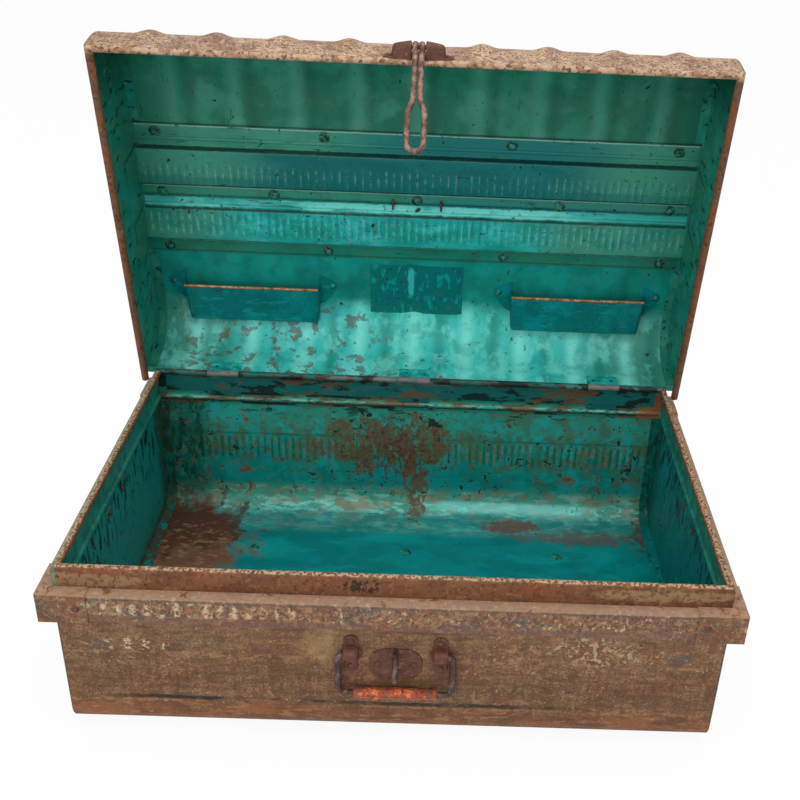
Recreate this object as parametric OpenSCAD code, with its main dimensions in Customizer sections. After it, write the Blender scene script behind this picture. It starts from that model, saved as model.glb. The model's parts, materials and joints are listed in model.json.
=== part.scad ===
// Pressed steel travelling trunk with a ribbed lid, shown with the lid open.
// X runs to the right, Y to the back and Z up. The origin is under the middle of the trunk, on the ground.

/* [Sheet and fits] */
// Thickness of the sheet steel
sheet = 1; // [0.8:0.1:1.2]
// Gap between sheets that lie on each other
seam = 0.3; // [0.2:0.05:0.4]
// Gap between pieces that move on each other
play = 0.3; // [0.3:0.05:0.5]

/* [Body] */
// Width over the rim of the body
rim_w = 660; // [560:10:760]
// Depth over the rim of the body
rim_d = 420; // [360:10:480]
// Height of the floor sheet's underside over the ground
runner_h = 5; // [4:1:8]
// Height of the rim above the underside of the floor
rim_h = 206; // [190:1:260]
// Radius of the bottom edges, front and back
bottom_r = 28; // [20:1:40]
// Radius of the rolled top edge
rim_bead_r = 4; // [3.5:0.5:5]
// How far the inner strip reaches below the rolled edge
rim_strip_h = 49; // [44:1:56]
// Radius of the bead near the strip's lower edge
strip_bead_r = 3; // [2:0.5:3.5]
// Width of the flange that joins an end panel to the wrap
end_flange_w = 12; // [8:1:16]

/* [Ledge] */
// How far the rim stands above the ledge
upright_h = 23; // [18:1:28]
// How far the corner pieces stand out from the rim
ledge_out = 14; // [12:1:18]
// Height of the corner pieces
band_h = 34; // [28:1:40]
// Length of a corner piece along each side
corner_l = 48.5; // [40:0.5:70]

/* [Runners] */
// Length of the runners under the floor
runner_l = 560; // [440:10:600]
// Width of a runner
runner_w = 30; // [24:1:40]
// Distance of each runner from the middle
runner_y = 107; // [80:1:140]
// Distance between the rivets of a runner
runner_pitch = 197; // [150:1:240]

/* [Lid] */
// How far the lid is open
lid_open = 80.5; // [0:0.5:80.5]
// Gap between the shut lid and the ledge
lid_seat = 0.3; // [0.3:0.1:1]
// Height of the lid above the ledge
lid_h = 122; // [110:1:150]
// Radius of the lid's back shoulder
shoulder_r = 50; // [40:1:60]
// Height of the straight front skirt, below its wide shoulder
skirt_h = 27; // [27:1:36]
// Radius of the rolled edge along the front
front_bead_r = 3.6; // [3:0.1:4]
// Radius of the rolled edge along the ends
side_bead_r = 4.4; // [3.5:0.1:4.6]
// Distance between the pressed ribs
rib_pitch = 71.5; // [60:0.5:72]
// Shift of the middle rib from the middle
rib_shift = -2.2; // [-4:0.1:4]
// Ribs on each side of the middle one
rib_side_n = 4; // [2:1:4]
// Width of a rib
rib_w = 36; // [20:1:40]
// Height of a rib
rib_rise = 4; // [2.5:0.5:5]

/* [Battens] */
// Depth of the web from the lid's top sheet
batten_rise = 8; // [6:1:10]
// Distance of the outer rivet rows from the middle
row_y = 78; // [76:0.5:80]
// Outer edge of the outer flanges
flange_out = 87; // [85:0.5:92]
// Front edge of the front web
web1_front = -58; // [-60:0.5:-56]
// Rear edge of the front web
web1_rear = -12; // [-14:0.5:-10]
// Front edge of the rear web
web2_front = 21; // [18:0.5:24]
// Rear edge of the rear web
web2_rear = 64; // [60:0.5:66]
// Length of the tabs on the end walls
tab_drop = 42; // [34:1:46]

/* [Pockets] */
// Distance of a pocket's outer end from the lid's end
pocket_end = 42; // [38:1:60]
// Length of a pocket
pocket_l = 176; // [150:1:180]
// Distance of the lip from the back of the lid
pocket_back = 83; // [80:1:90]
// Depth of a pocket
pocket_d = 54; // [44:1:58]
// Distance between the lip and the lid's top sheet
pocket_gap = 18; // [14:1:22]
// Radius of the lip wire
lip_wire_r = 1.8; // [1.4:0.1:2.2]

/* [Hinge] */
// Radius of the hinge wire
wire_r = 2.2; // [2:0.1:2.4]
// Radial gap between the wire and the strap loops
strap_fit = 0.1; // [0.05:0.01:0.1]
// Radial gap between the wire and the sleeve
sleeve_fit = 0.05; // [0.02:0.01:0.1]
// Width of a strap
strap_w = 40; // [30:1:46]
// Distance between straps
strap_pitch = 246; // [200:1:260]
// Shift of the middle strap from the middle
strap_shift = 3; // [0:1:6]

/* [Hasp] */
// Distance of the pin from the front skirt
hasp_out = 10.5; // [10:0.5:11]
// Height of the pin above the lid's lower edge
hasp_up = 8.3; // [8:0.1:9]
// Radius of the hasp's wire
hasp_r = 3; // [2.5:0.1:3]
// Length of the straight stem
hasp_stem = 44; // [42:1:46]
// Length from the pin to the middle of the bottom bend
hasp_l = 117.5; // [116:0.5:118.5]
// How far the eye leans in towards the body
hasp_bend = 9.6; // [9:0.1:10.4]
// How far the hasp leans past the plumb line of the shut lid
hasp_rest = 32; // [0:0.5:32]
// Width inside the eye
eye_w = 11.2; // [10:0.1:12]

/* [Staple] */
// Radius of the staple's wire
staple_r = 3; // [2.5:0.1:3]
// How far the middle of the bend stands out from the wall
staple_out = 25; // [24:0.5:27]
// Distance between the two legs
staple_pitch = 24; // [22:0.5:26]
// Height of the staple's middle above the floor's underside
staple_z = 104; // [103:0.5:106]

/* [Handles] */
// Shift of lock and front handle from the middle
lock_x = 2; // [0:0.5:4]
// Radius of the bails
bail_r = 3.2; // [2.8:0.1:3.4]
// Half of the distance between the legs of the front bail
bail_half = 57.4; // [54:0.2:62]
// Length of the front bail's legs
bail_l = 49; // [49:0.5:54]
// Height of the front bail's pivots above the floor's underside
bail_z = 114; // [113:0.5:116]
// Distance of the pivots from the wall
bail_out = 7.2; // [7:0.1:8]
// Greatest radius of the grip
grip_r = 6.4; // [5.6:0.1:6.4]
// Length of the grip
grip_l = 84; // [76:1:90]
// Distance of an eye plate's middle from the handle's middle
eye_plate_x = 45; // [43:0.5:47]
// Height of the end handles above the floor's underside
end_handle_z = 141; // [134:1:142]
// Half of the distance between the rivets of an end handle
end_rivet_y = 25; // [22:0.5:28]
// Half of the distance between the legs of an end bail
end_bail_half = 56; // [52:0.5:60]
// Length of the legs of an end bail
end_bail_l = 44; // [38:1:48]
// Distance of the split pins from the middle
pin_x = 30; // [26:0.5:34]
// Place of the split pins on the lid
pin_y = 4; // [0:0.5:4]
// Length of the top bail's legs
top_bail_l = 36; // [30:1:40]
// Radius of the top bail
top_bail_r = 2.4; // [2:0.1:2.6]

/* [Rivets] */
// Radius of a rivet's head
rivet_r = 4; // [3:0.1:4.5]
// Height of a rivet's head
rivet_h = 2; // [1.5:0.1:2.5]
// Radius of the shank
shank_r = 1.9; // [1.5:0.1:2.2]
// Radius of a washer
washer_r = 7.5; // [6:0.1:8]
// Thickness of a washer
washer_t = 1; // [0.8:0.1:1.2]

/* [Hidden] */
$fn = 48;
eps = 0.5;

z0 = runner_h;
rim_x = rim_w / 2;
rim_y = rim_d / 2;
rim_top = z0 + rim_h;
body_x = rim_x + seam + sheet;
body_y = rim_y + seam + sheet;
ledge_top = rim_top - upright_h;
out_x = rim_x + ledge_out;
out_y = rim_y + ledge_out;
lap = sheet + seam;
band_top = ledge_top - lap;
wall_top = band_top - lap;
band_low = ledge_top - band_h;
strip_low = rim_top - rim_strip_h;
strip_bead_z = strip_low + 2 * strip_bead_r + 2;
axis_y = rim_y - rim_bead_r;
axis_z = rim_top - rim_bead_r;
sleeve_r = rim_bead_r;

lid_low = ledge_top + lid_seat;
lid_top = ledge_top + lid_h;
lid_back = rim_y + 1;
shell_end = out_x - lap;
lid_in = lid_top - sheet;
skirt_low = rim_top + 0.6;
side_bead_z = lid_low + side_bead_r;
front_bead_z = lid_low + front_bead_r;
corner_clear = axis_z - ledge_top - play;

strap_x = [for (i = [-1:1]) strap_shift + i * strap_pitch];
rib_x = [for (i = [-rib_side_n:rib_side_n]) rib_shift + i * rib_pitch];
pocket_mid = out_x - pocket_end - pocket_l / 2;
pocket_lip_y = lid_back - pocket_back;
lip_z = lid_in - pocket_gap;

hasp_y = -out_y - hasp_out;
hasp_z = lid_low + hasp_up;
bail_y = -body_y - bail_out;
bail_pz = z0 + bail_z;
staple_pz = z0 + staple_z;
end_pz = z0 + end_handle_z;
end_px = body_x + bail_out;
tube_r = bail_r + 1.2;

row_end = shell_end - 26.7;
row1_x = [-row_end, -113, 113, row_end];
row2_x = [-row_end, -178, 0, 178, row_end];
repair_y = [3, 121];
repair_z = 50;
repair_end = 16;
repair_half = 12;
repair_t = 1.5;
corner_rivet_in = 38;

staple_bend = staple_pitch / 2;
plate_t = 1.5;
hasp_pin_r = 2.2;
loop_r = 6.4;
staple_rivet_x = 18;
eye_rivet_z = 16;
saddle_up = 3;
pin_wire_r = 1.3;
hasp_rivet_x = 31.5;
strap_tail = 24;
strap_rivet_x = 12;
strap_rivet_up = rim_bead_r + 14;
bead_y = -out_y + side_bead_r;
bead_x = out_x - side_bead_r;
tab1_hole = [-46, lid_in - batten_rise - 34];
tab2_hole = [37, lid_in - batten_rise - 22];
flange_z = lid_in - seam;
row_z = flange_z - sheet;
row2_z = flange_z - lap - sheet;
front_r = lid_h - skirt_h;
front_rib_foot = 2.6;
back_rib_foot = lid_top - shoulder_r - axis_z - rim_bead_r - strap_tail - 1;
rib_end_gap = 1;
hole_l = 20;
hinge_clear = 20;
batten_end = shell_end - 0.1;
hem_low = rim_top - 31;
bail_bend = 8;
end_bail_in = 16;
end_tube_l = 14;
end_tube_y = end_bail_half - 12;
end_plate_in = 4;
end_plate_h = 16;
pocket_rivet_out = 16.5;
pocket_rivet_y = 3;
ear_w = 23;
ear_front = 14;
ear_back = 32;
tab_skew = 1;
tab1_low = [web1_front + tab_skew, web1_rear - 16];
tab2_low = [web2_front + 4, web2_rear - 11];

// A rivet with a domed head on top of the XY plane and its shank below it.
module rivet(shank = 2, head_r = rivet_r, head_h = rivet_h, hole_r = shank_r) {
    dome_r = (head_r * head_r + head_h * head_h) / (2 * head_h);
    rotate_extrude() union() {
        intersection() {
            translate([0, head_h - dome_r]) circle(dome_r);
            square([head_r, head_h]);
        }
        translate([0, -shank]) square([hole_r, shank + 0.1]);
    }
}

// Hole for a rivet's shank, along Z through the XY plane.
module rivet_hole(depth = 16) {
    translate([0, 0, -depth / 2]) cylinder(h = depth, r = shank_r + 0.1);
}

// A flat ring that lies on the XY plane.
module washer(outer_r = washer_r, inner_r = shank_r + 0.1, t = washer_t) {
    difference() {
        cylinder(h = t, r = outer_r);
        translate([0, 0, -eps]) cylinder(h = t + 2 * eps, r = inner_r);
    }
}

// Turns a profile drawn in Y and Z into a bar of length l, centred on X.
module along_x(l) {
    translate([-l / 2, 0, 0]) rotate([90, 0, 90]) linear_extrude(l) children();
}

// Turns a profile drawn in X and Z into a bar of length l, centred on Y.
module along_y(l) {
    translate([0, l / 2, 0]) rotate([90, 0, 0]) linear_extrude(l) children();
}

// Cylinder along X, centred.
module rod_x(l, r) {
    translate([-l / 2, 0, 0]) rotate([0, 90, 0]) cylinder(h = l, r = r);
}

// Cylinder along Y, centred.
module rod_y(l, r) {
    translate([0, l / 2, 0]) rotate([90, 0, 0]) cylinder(h = l, r = r);
}

// Box given by its least and greatest corner.
module box(lo, hi) {
    translate(lo) cube(hi - lo);
}

// Puts pieces drawn for the shut lid where the open lid has them.
module lid_pose() {
    translate([0, axis_y, axis_z]) rotate([-lid_open, 0, 0]) translate([0, -axis_y, -axis_z]) children();
}

// Cross-section of the body: straight walls and round bottom edges.
module body_section(half, low, high, r) {
    translate([-half, low + r]) square([2 * half, high - low - r]);
    translate([-half + r, low]) square([2 * (half - r), r + 0.01]);
    for (s = [-1, 1]) translate([s * (half - r), low + r]) circle(r, $fn = 96);
}

module body_ring(outer, low, high, r, t) {
    difference() {
        body_section(outer, low, high, r);
        translate([0, 0]) body_section(outer - t, low + t, high + eps, r - t);
    }
}

module body_wrap() color("saddlebrown") difference() {
    along_x(2 * (body_x - lap)) body_ring(body_y, z0, wall_top, bottom_r, sheet);
    at_runner_rivets() rivet_hole();
    at_eye_rivets() rivet_hole();
    at_staple_rivets() rivet_hole();
    for (s = [-1, 1]) translate([lock_x, -body_y, staple_pz + s * staple_bend]) rod_y(8, staple_r + 0.05);
}

module end_panel() {
    translate([body_x - sheet / 2, 0, 0]) along_x(sheet) body_section(body_y, z0, wall_top, bottom_r);
    translate([body_x - sheet - end_flange_w / 2 + 0.05, 0, 0]) along_x(end_flange_w + 0.1)
        body_ring(body_y - lap, z0 + lap, strip_low - seam, bottom_r - lap, sheet);
}

module left_end_panel() color("saddlebrown") mirror([1, 0, 0]) difference() {
    end_panel();
    at_end_rivets() rivet_hole();
}

module right_end_panel() color("saddlebrown") difference() {
    end_panel();
    at_end_rivets() rivet_hole();
    for (y = repair_y) translate([body_x, y, z0 + repair_z]) rod_x(4 * sheet, shank_r + 0.1);
}

// Section of a rim strip: sheet with a rolled top edge and a bead, outer face on X = 0, inside at positive X.
module rim_section() {
    translate([0, strip_low]) square([sheet, rim_top - rim_bead_r - strip_low]);
    translate([rim_bead_r, rim_top - rim_bead_r]) circle(rim_bead_r);
    intersection() {
        translate([sheet, strip_bead_z]) circle(strip_bead_r);
        translate([0, strip_low]) square([2 * strip_bead_r + sheet, 4 * strip_bead_r]);
    }
}

module front_rim() color("sienna") {
    translate([0, -rim_y, 0]) along_x(2 * (rim_x - rim_bead_r)) rim_section();
    for (s = [-1, 1]) translate([s * (rim_x - rim_bead_r), -rim_y + rim_bead_r, rim_top - rim_bead_r])
        sphere(rim_bead_r);
    for (s = [-1, 1]) translate([s * (rim_x - rim_bead_r / 2), -rim_y + sheet / 2, (strip_low + axis_z) / 2])
        cube([rim_bead_r, sheet, axis_z - strip_low], center = true);
}

module side_rim() {
    side_front = -rim_y + sheet + seam;
    side_back = rim_y - sheet - seam;
    difference() {
        translate([-rim_x, (side_front + side_back) / 2, 0]) along_y(side_back - side_front) rim_section();
        translate([-rim_x + rim_bead_r, -rim_y + rim_bead_r, axis_z]) sphere(rim_bead_r + seam);
        translate([-rim_x + rim_bead_r + rim_bead_r, -rim_y + rim_bead_r, axis_z])
            rod_x(4 * rim_bead_r, rim_bead_r + seam);
        box([-rim_x - eps, -rim_y, axis_z - rim_bead_r - seam],
            [-rim_x + 3 * rim_bead_r, -rim_y + rim_bead_r, rim_top + eps]);
        box([-rim_x - eps, axis_y - rim_bead_r - seam, axis_z - rim_bead_r - seam],
            [-rim_x + 3 * rim_bead_r, rim_y, rim_top + eps]);
        box([-rim_x + sheet, -rim_y, strip_low - eps],
            [-rim_x + 3 * rim_bead_r, -rim_y + sheet + strip_bead_r + seam, axis_z - rim_bead_r]);
        box([-rim_x + sheet, rim_y - sheet - strip_bead_r - seam, strip_low - eps],
            [-rim_x + 3 * rim_bead_r, rim_y, axis_z - rim_bead_r]);
    }
}

module left_rim() color("sienna") side_rim();

module right_rim() color("sienna") mirror([1, 0, 0]) side_rim();

// Openings in the sleeve, where the straps turn.
module strap_gaps() for (x = strap_x)
    box([x - strap_w / 2 - play, axis_y - 3 * sleeve_r, axis_z - sleeve_r - play],
        [x + strap_w / 2 + play, rim_y + eps, rim_top + eps]);

back_rim_top = axis_z - sleeve_r - seam;

module back_rim() color("sienna") translate([0, rim_y, 0]) along_x(2 * (rim_x - lap)) {
    translate([-sheet, strip_low]) square([sheet, back_rim_top - strip_low]);
    intersection() {
        translate([-sheet, strip_bead_z]) circle(strip_bead_r);
        translate([-2 * strip_bead_r - sheet, strip_low]) square([2 * strip_bead_r + sheet, 4 * strip_bead_r]);
    }
}

module hinge_sleeve() color("sienna") difference() {
    union() {
        translate([0, axis_y, axis_z]) rod_x(2 * rim_x, sleeve_r);
        box([-rim_x + 3 * rim_bead_r, rim_y - lap - sheet, hem_low],
            [rim_x - 3 * rim_bead_r, rim_y - lap, axis_z]);
    }
    translate([0, axis_y, axis_z]) rod_x(2 * rim_x + 1, wire_r + sleeve_fit);
    strap_gaps();
}

module hinge_tabs() color("sienna") for (x = strap_x)
    box([x - strap_w / 2, rim_y - lap - sheet, hem_low - 6],
        [x + strap_w / 2, rim_y - lap, hem_low - seam]);

module hinge_wire() color("dimgray") translate([0, axis_y, axis_z]) rod_x(2 * rim_x - 4, wire_r);

// Channel section of a ledge band: outer face on X = 0, the wall side at positive X.
module band_section(depth, foot, low, high) {
    translate([0, low]) square([sheet, high - low]);
    translate([0, high - sheet]) square([depth, sheet]);
    translate([0, low]) square([foot, sheet]);
}

band_x = out_x - lap;
band_y = out_y - lap;
band_depth = ledge_out - lap - seam;
band_foot = ledge_out - lap - lap - seam;

module front_band_bar() difference() {
    translate([0, -band_y, 0]) along_x(2 * band_x) band_section(band_depth, band_foot, band_low + lap, band_top);
    corner_holes();
    mirror([1, 0, 0]) corner_holes();
}

module side_band_bar() {
    translate([-band_x, 0, 0]) along_y(2 * (band_y - sheet - seam))
        band_section(band_depth, band_foot, band_low + lap, band_top);
}

// Cuts the side band back to clear the flanges of the front and back bands.
module side_band() difference() {
    side_band_bar();
    for (s = [-1, 1]) translate([-band_x, s * (band_y - band_depth / 2), 0])
        cube([8 * band_depth, band_depth + 2 * seam, 4 * rim_top], center = true);
    corner_holes();
    mirror([0, 1, 0]) corner_holes();
}

module front_band() color("tan") front_band_bar();

module back_band() color("tan") mirror([0, 1, 0]) front_band_bar();

module left_band() color("tan") side_band();

module right_band() color("tan") mirror([1, 0, 0]) side_band();

// Cap over the front left corner of the ledge.
module corner_piece() difference() {
    box([-out_x, -out_y, band_low], [-out_x + corner_l, -out_y + corner_l, ledge_top]);
    box([-out_x + sheet, -out_y + sheet, band_low + sheet],
        [-out_x + corner_l + eps, -out_y + corner_l + eps, ledge_top - sheet]);
    box([-rim_x - seam, -rim_y - seam, band_top - seam],
        [-out_x + corner_l + eps, -out_y + corner_l + eps, ledge_top + eps]);
    box([-body_x - seam, -body_y - seam, band_low - eps],
        [-out_x + corner_l + eps, -out_y + corner_l + eps, band_top - seam]);
    corner_holes();
}

module corner_holes() {
    for (a = corner_rivet_places()) translate(a[0]) rotate(a[1]) rivet_hole(6 * lap);
}

function corner_rivet_places() = [
    [[-out_x + corner_rivet_in, -out_y, (ledge_top + band_low) / 2], [90, 0, 0]],
    [[-out_x, -out_y + corner_rivet_in, (ledge_top + band_low) / 2], [0, -90, 0]]];

module front_left_corner() color("peru") corner_piece();

module front_right_corner() color("peru") mirror([1, 0, 0]) corner_piece();

module back_left_corner() color("peru") mirror([0, 1, 0]) corner_piece();

module back_right_corner() color("peru") mirror([1, 0, 0]) mirror([0, 1, 0]) corner_piece();

module corner_rivets() color("saddlebrown") for (mx = [0, 1], my = [0, 1])
    mirror([mx, 0, 0]) mirror([0, my, 0]) for (a = corner_rivet_places())
        translate(a[0]) rotate(a[1]) rivet(lap + sheet + 0.2);

module at_runner_rivets() for (s = [-1, 1], i = [-1:1])
    translate([i * runner_pitch, s * runner_y, z0 + sheet]) children();

// Channel strip, open below.
module runner(y) difference() {
    box([-runner_l / 2, y - runner_w / 2, 0], [runner_l / 2, y + runner_w / 2, z0 - 0.05]);
    box([-runner_l / 2 - eps, y - runner_w / 2 + 5 * sheet, -eps],
        [runner_l / 2 + eps, y + runner_w / 2 - 5 * sheet, z0 - 0.05 - 1.5 * sheet]);
    at_runner_rivets() rivet_hole(4 * z0);
}

module front_runner() color("sienna") runner(-runner_y);

module rear_runner() color("sienna") runner(runner_y);

module runner_rivets() color("darkslategray") at_runner_rivets()
    translate([0, 0, washer_t + 0.1]) rivet(washer_t + 4 * sheet);

module runner_washers() color("darkslategray") at_runner_rivets() translate([0, 0, 0.05]) washer();

module right_repair_strip() color("sienna") difference() {
    box([body_x + 0.05, repair_y[0] - repair_end, z0 + repair_z - repair_half],
        [body_x + 0.05 + repair_t, repair_y[1] + repair_end, z0 + repair_z + repair_half]);
    for (y = repair_y) translate([body_x, y, z0 + repair_z]) rod_x(6, shank_r + 0.1);
}

module repair_rivets() color("darkslategray") for (y = repair_y)
    translate([body_x - sheet - 0.05, y, z0 + repair_z]) rotate([0, -90, 0]) rivet(2.6 + sheet);

// Half ring of wire with two straight legs, drawn in X and Y with the bend at negative Y.
module wire_bow(half, leg, r) {
    for (s = [-1, 1]) translate([s * half, leg / 2, 0]) rod_y(leg, r);
    rotate([0, 0, 180]) rotate_extrude(angle = 180) translate([half, 0]) circle(r);
}

module staple_plate() color("brown") translate([lock_x, -body_y - 0.05, staple_pz - 5.5]) difference() {
    rotate([90, 0, 0]) linear_extrude(plate_t) intersection() {
        union() {
            translate([-8, 0]) circle(20);
            translate([8, 0]) circle(20);
            square([30, 40], center = true);
        }
        square([54, 48], center = true);
    }
    for (s = [-1, 1]) translate([s * staple_rivet_x, 0, 0]) rod_y(4 * plate_t, shank_r + 0.1);
    for (s = [-1, 1]) translate([0, 0, 5.5 + s * staple_bend]) rod_y(4 * plate_t, staple_r + 0.05);
}

module at_staple_rivets() for (s = [-1, 1])
    translate([lock_x + s * staple_rivet_x, -body_y - 0.1 - plate_t, staple_pz - 5.5]) rotate([90, 0, 0]) children();

module staple_rivets() color("brown") at_staple_rivets() rivet(plate_t + sheet);

module staple() color("dimgray") translate([lock_x, -body_y - staple_out + staple_bend, staple_pz])
    rotate([0, 90, 0]) wire_bow(staple_bend, staple_out - staple_bend + 2 * sheet, staple_r);

// Lobed plate with a pressed saddle over the end of a bail, on the XZ plane, facing negative Y.
module eye_plate_outline() {
    for (s = [-1, 1]) translate([0, s * eye_rivet_z]) circle(7.5);
    circle(11);
    square([13, 2 * eye_rivet_z], center = true);
}

module at_eye_rivets() for (s = [-1, 1], t = [-1, 1])
    translate([lock_x + s * eye_plate_x, -body_y - 0.1 - plate_t, bail_pz - saddle_up + t * eye_rivet_z])
        rotate([90, 0, 0]) children();

// The saddle sits a little above the middle of the plate.
module eye_plate(s) color("brown") difference() {
    translate([lock_x + s * eye_plate_x, -body_y - 0.05, bail_pz]) difference() {
        union() {
            translate([0, 0, -saddle_up]) rotate([90, 0, 0]) linear_extrude(plate_t) eye_plate_outline();
            translate([0, -bail_out + 0.05, 0]) rod_x(17, tube_r);
            translate([0, -bail_out / 2, 0]) cube([17, bail_out, 2 * tube_r], center = true);
        }
        translate([0, -bail_out + 0.05, 0]) rod_x(40, bail_r + 0.1);
        translate([0, bail_out / 2, 0]) cube([40, bail_out, 60], center = true);
    }
    at_eye_rivets() rivet_hole(6 * plate_t);
}

module left_eye_plate() eye_plate(-1);

module right_eye_plate() eye_plate(1);

module eye_plate_rivets() color("brown") at_eye_rivets() rivet(plate_t + sheet);

// Bail that hangs from the X axis: inward ends, two legs, two bends and a bottom bar.
module bail(half, drop, r, inward) {
    for (s = [-1, 1]) {
        translate([s * (half - inward / 2), 0, 0]) rod_x(inward, r);
        translate([s * half, 0, 0]) sphere(r);
        translate([s * half, 0, -drop + bail_bend]) cylinder(h = drop - bail_bend, r = r);
    }
    for (m = [0, 1]) mirror([m, 0, 0]) translate([half - bail_bend, 0, -drop + bail_bend])
        rotate([90, 90, 0]) rotate_extrude(angle = 90) translate([bail_bend, 0]) circle(r);
    translate([0, 0, -drop]) rod_x(2 * (half - bail_bend), r);
}

module front_bail() color("dimgray") translate([lock_x, bail_y, bail_pz])
    bail(bail_half, bail_l, bail_r, bail_half - eye_plate_x + 6);

// Turned grip: a thick middle, two collars and thinner ends, bored for the bail.
module front_grip() color("orangered") translate([lock_x, bail_y, bail_pz - bail_l]) rotate([0, 90, 0])
    rotate_extrude() polygon([[bail_r + 0.05, -grip_l / 2], [grip_r - 1.4, -grip_l / 2],
        [grip_r - 1, -grip_l / 4 - 3], [grip_r, -grip_l / 4], [grip_r - 0.6, -grip_l / 8], [grip_r, 0],
        [grip_r - 0.6, grip_l / 8], [grip_r, grip_l / 4], [grip_r - 1, grip_l / 4 + 3],
        [grip_r - 1.4, grip_l / 2], [bail_r + 0.05, grip_l / 2]]);

// End handle for the right end, its plate on the outside of the wall.
module end_plate() difference() {
    union() {
        box([body_x + 0.05, -end_bail_half + end_plate_in, end_pz - end_plate_h],
            [body_x + 0.05 + plate_t, end_bail_half - end_plate_in, band_low - 2 * sheet]);
        for (s = [-1, 1]) translate([end_px, s * end_tube_y, end_pz]) rod_y(end_tube_l, tube_r);
        for (s = [-1, 1]) translate([body_x + 0.05 + bail_out / 2, s * end_tube_y, end_pz])
            cube([bail_out, end_tube_l, 2 * tube_r], center = true);
    }
    translate([end_px, 0, end_pz]) for (s = [-1, 1]) translate([0, s * end_bail_half, 0]) rod_y(50, bail_r + 0.1);
    box([body_x - 2 * bail_out, -2 * end_bail_half, end_pz - rim_h], [body_x + 0.05, 2 * end_bail_half, rim_top]);
    at_end_rivets() rivet_hole();
}

module at_end_rivets() for (s = [-1, 1])
    translate([body_x + 0.1 + plate_t, s * end_rivet_y, end_pz]) rotate([0, 90, 0]) children();

// The end rivets show as low heads inside too.
module end_rivets() {
    at_end_rivets() rivet(plate_t + 2.5 * sheet);
    for (s = [-1, 1]) translate([body_x - sheet - 0.05, s * end_rivet_y, end_pz]) rotate([0, -90, 0])
        rivet(0.2);
}

module end_bail() translate([end_px, 0, end_pz]) rotate([0, 0, 90])
    bail(end_bail_half, end_bail_l, bail_r, end_bail_in);

module left_handle_plate() color("brown") mirror([1, 0, 0]) end_plate();

module left_handle_rivets() color("brown") mirror([1, 0, 0]) end_rivets();

module left_bail() color("dimgray") mirror([1, 0, 0]) end_bail();

module right_handle_plate() color("brown") end_plate();

module right_handle_rivets() color("brown") end_rivets();

module right_bail() color("dimgray") end_bail();

// Outline of the shut lid in Y and Z, set in by t: a wide round front and a smaller back shoulder.
module lid_outline(t, low) {
    translate([-out_y + t, low]) square([out_y - t, ledge_top + skirt_h - low]);
    translate([0, low]) square([lid_back - t, lid_top - shoulder_r - low]);
    translate([-out_y + front_r, low]) square([out_y + lid_back - front_r - shoulder_r, lid_top - t - low]);
    translate([-out_y + front_r, lid_top - front_r]) intersection() {
        circle(front_r - t, $fn = 192);
        translate([-front_r, 0]) square(front_r);
    }
    translate([lid_back - shoulder_r, lid_top - shoulder_r]) circle(shoulder_r - t, $fn = 96);
}

module lid_sheet_section() difference() {
    lid_outline(0, front_bead_z);
    lid_outline(sheet, front_bead_z - 1);
    translate([0, front_bead_z - 1]) square([rim_d, skirt_low - front_bead_z + 1]);
}

// Section of a rib, its foot on the line x = 0 and its crown at positive x.
module rib_section(w, h) {
    polygon([[-0.6 * sheet, -w / 2], [0, -w / 2], [0.45 * h, -0.36 * w], [0.88 * h, -0.2 * w], [h, 0],
        [0.88 * h, 0.2 * w], [0.45 * h, 0.36 * w], [0, w / 2], [-0.6 * sheet, w / 2]]);
}

// A rib over a shoulder at the edge -edge: from the skirt, round the shoulder, onto the top.
module rib(edge, shoulder, foot, w, h, inset, short) {
    cz = lid_top - shoulder;
    r = shoulder - inset;
    run = edge - shoulder - flange_out - rib_end_gap;
    translate([0, -edge + shoulder, cz]) rotate([0, 90, 0]) rotate([0, 0, 180]) rotate_extrude(angle = 90)
        translate([r, 0]) rib_section(w, h);
    translate([0, -edge + shoulder - r, cz - foot + short]) rotate([0, 0, -90])
        linear_extrude(foot - short) rib_section(w, h);
    translate([0, -edge + shoulder + run - short, cz + r]) rotate([90, 0, 0]) rotate([0, 0, 90])
        linear_extrude(run - short) rib_section(w, h);
}

module lid_ribs(w, h, inset, short) for (x = rib_x) translate([x, 0, 0]) {
    rib(out_y, front_r, front_rib_foot, w, h, inset, short);
    mirror([0, 1, 0]) rib(lid_back, shoulder_r, back_rib_foot, w, h, inset, short);
}

module lid_shell() color("burlywood") lid_pose() difference() {
    union() {
        along_x(2 * shell_end) lid_sheet_section();
        lid_ribs(rib_w, rib_rise, 0, 0);
    }
    lid_ribs(rib_w - 2 * sheet, rib_rise, sheet + 0.01, 1.2 * sheet);
    for (s = [-1, 1]) translate([s * pin_x, pin_y, lid_in - eps]) cylinder(h = 2 * sheet, r = pin_wire_r * 2 + 0.15);
    at_batten_rivets(0) rivet_hole();
    at_strap_rivets() rivet_hole();
    at_pocket_rivets() rivet_hole();
    at_hasp_rivets() rivet_hole();
}

// End wall of the lid, with flanges inside the two shoulders.
module lid_end() {
    difference() {
        translate([out_x - sheet / 2, 0, 0]) along_x(sheet) difference() {
            lid_outline(0, side_bead_z);
            difference() {
                translate([axis_y, lid_low]) square([rim_d, axis_z - lid_low]);
                translate([axis_y, axis_z]) circle(corner_clear);
            }
        }
        for (h = [tab1_hole, tab2_hole]) translate([out_x, h[0], h[1]]) rod_x(8, shank_r + 0.1);
    }
    translate([shell_end - 4.5, 0, 0]) along_x(11) intersection() {
        difference() {
            lid_outline(lap, side_bead_z + 6);
            lid_outline(lap + sheet, side_bead_z + 5);
            translate([axis_y - hinge_clear, side_bead_z]) square([rim_d, skirt_low + 10 - side_bead_z]);
        }
        union() {
            translate([-out_y, lid_low]) square([out_y - flange_out - 4, lid_h]);
            translate([flange_out + 4, lid_low]) square([out_y, lid_h]);
        }
    }
}

module lid_left_end() color("teal") lid_pose() mirror([1, 0, 0]) lid_end();

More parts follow.
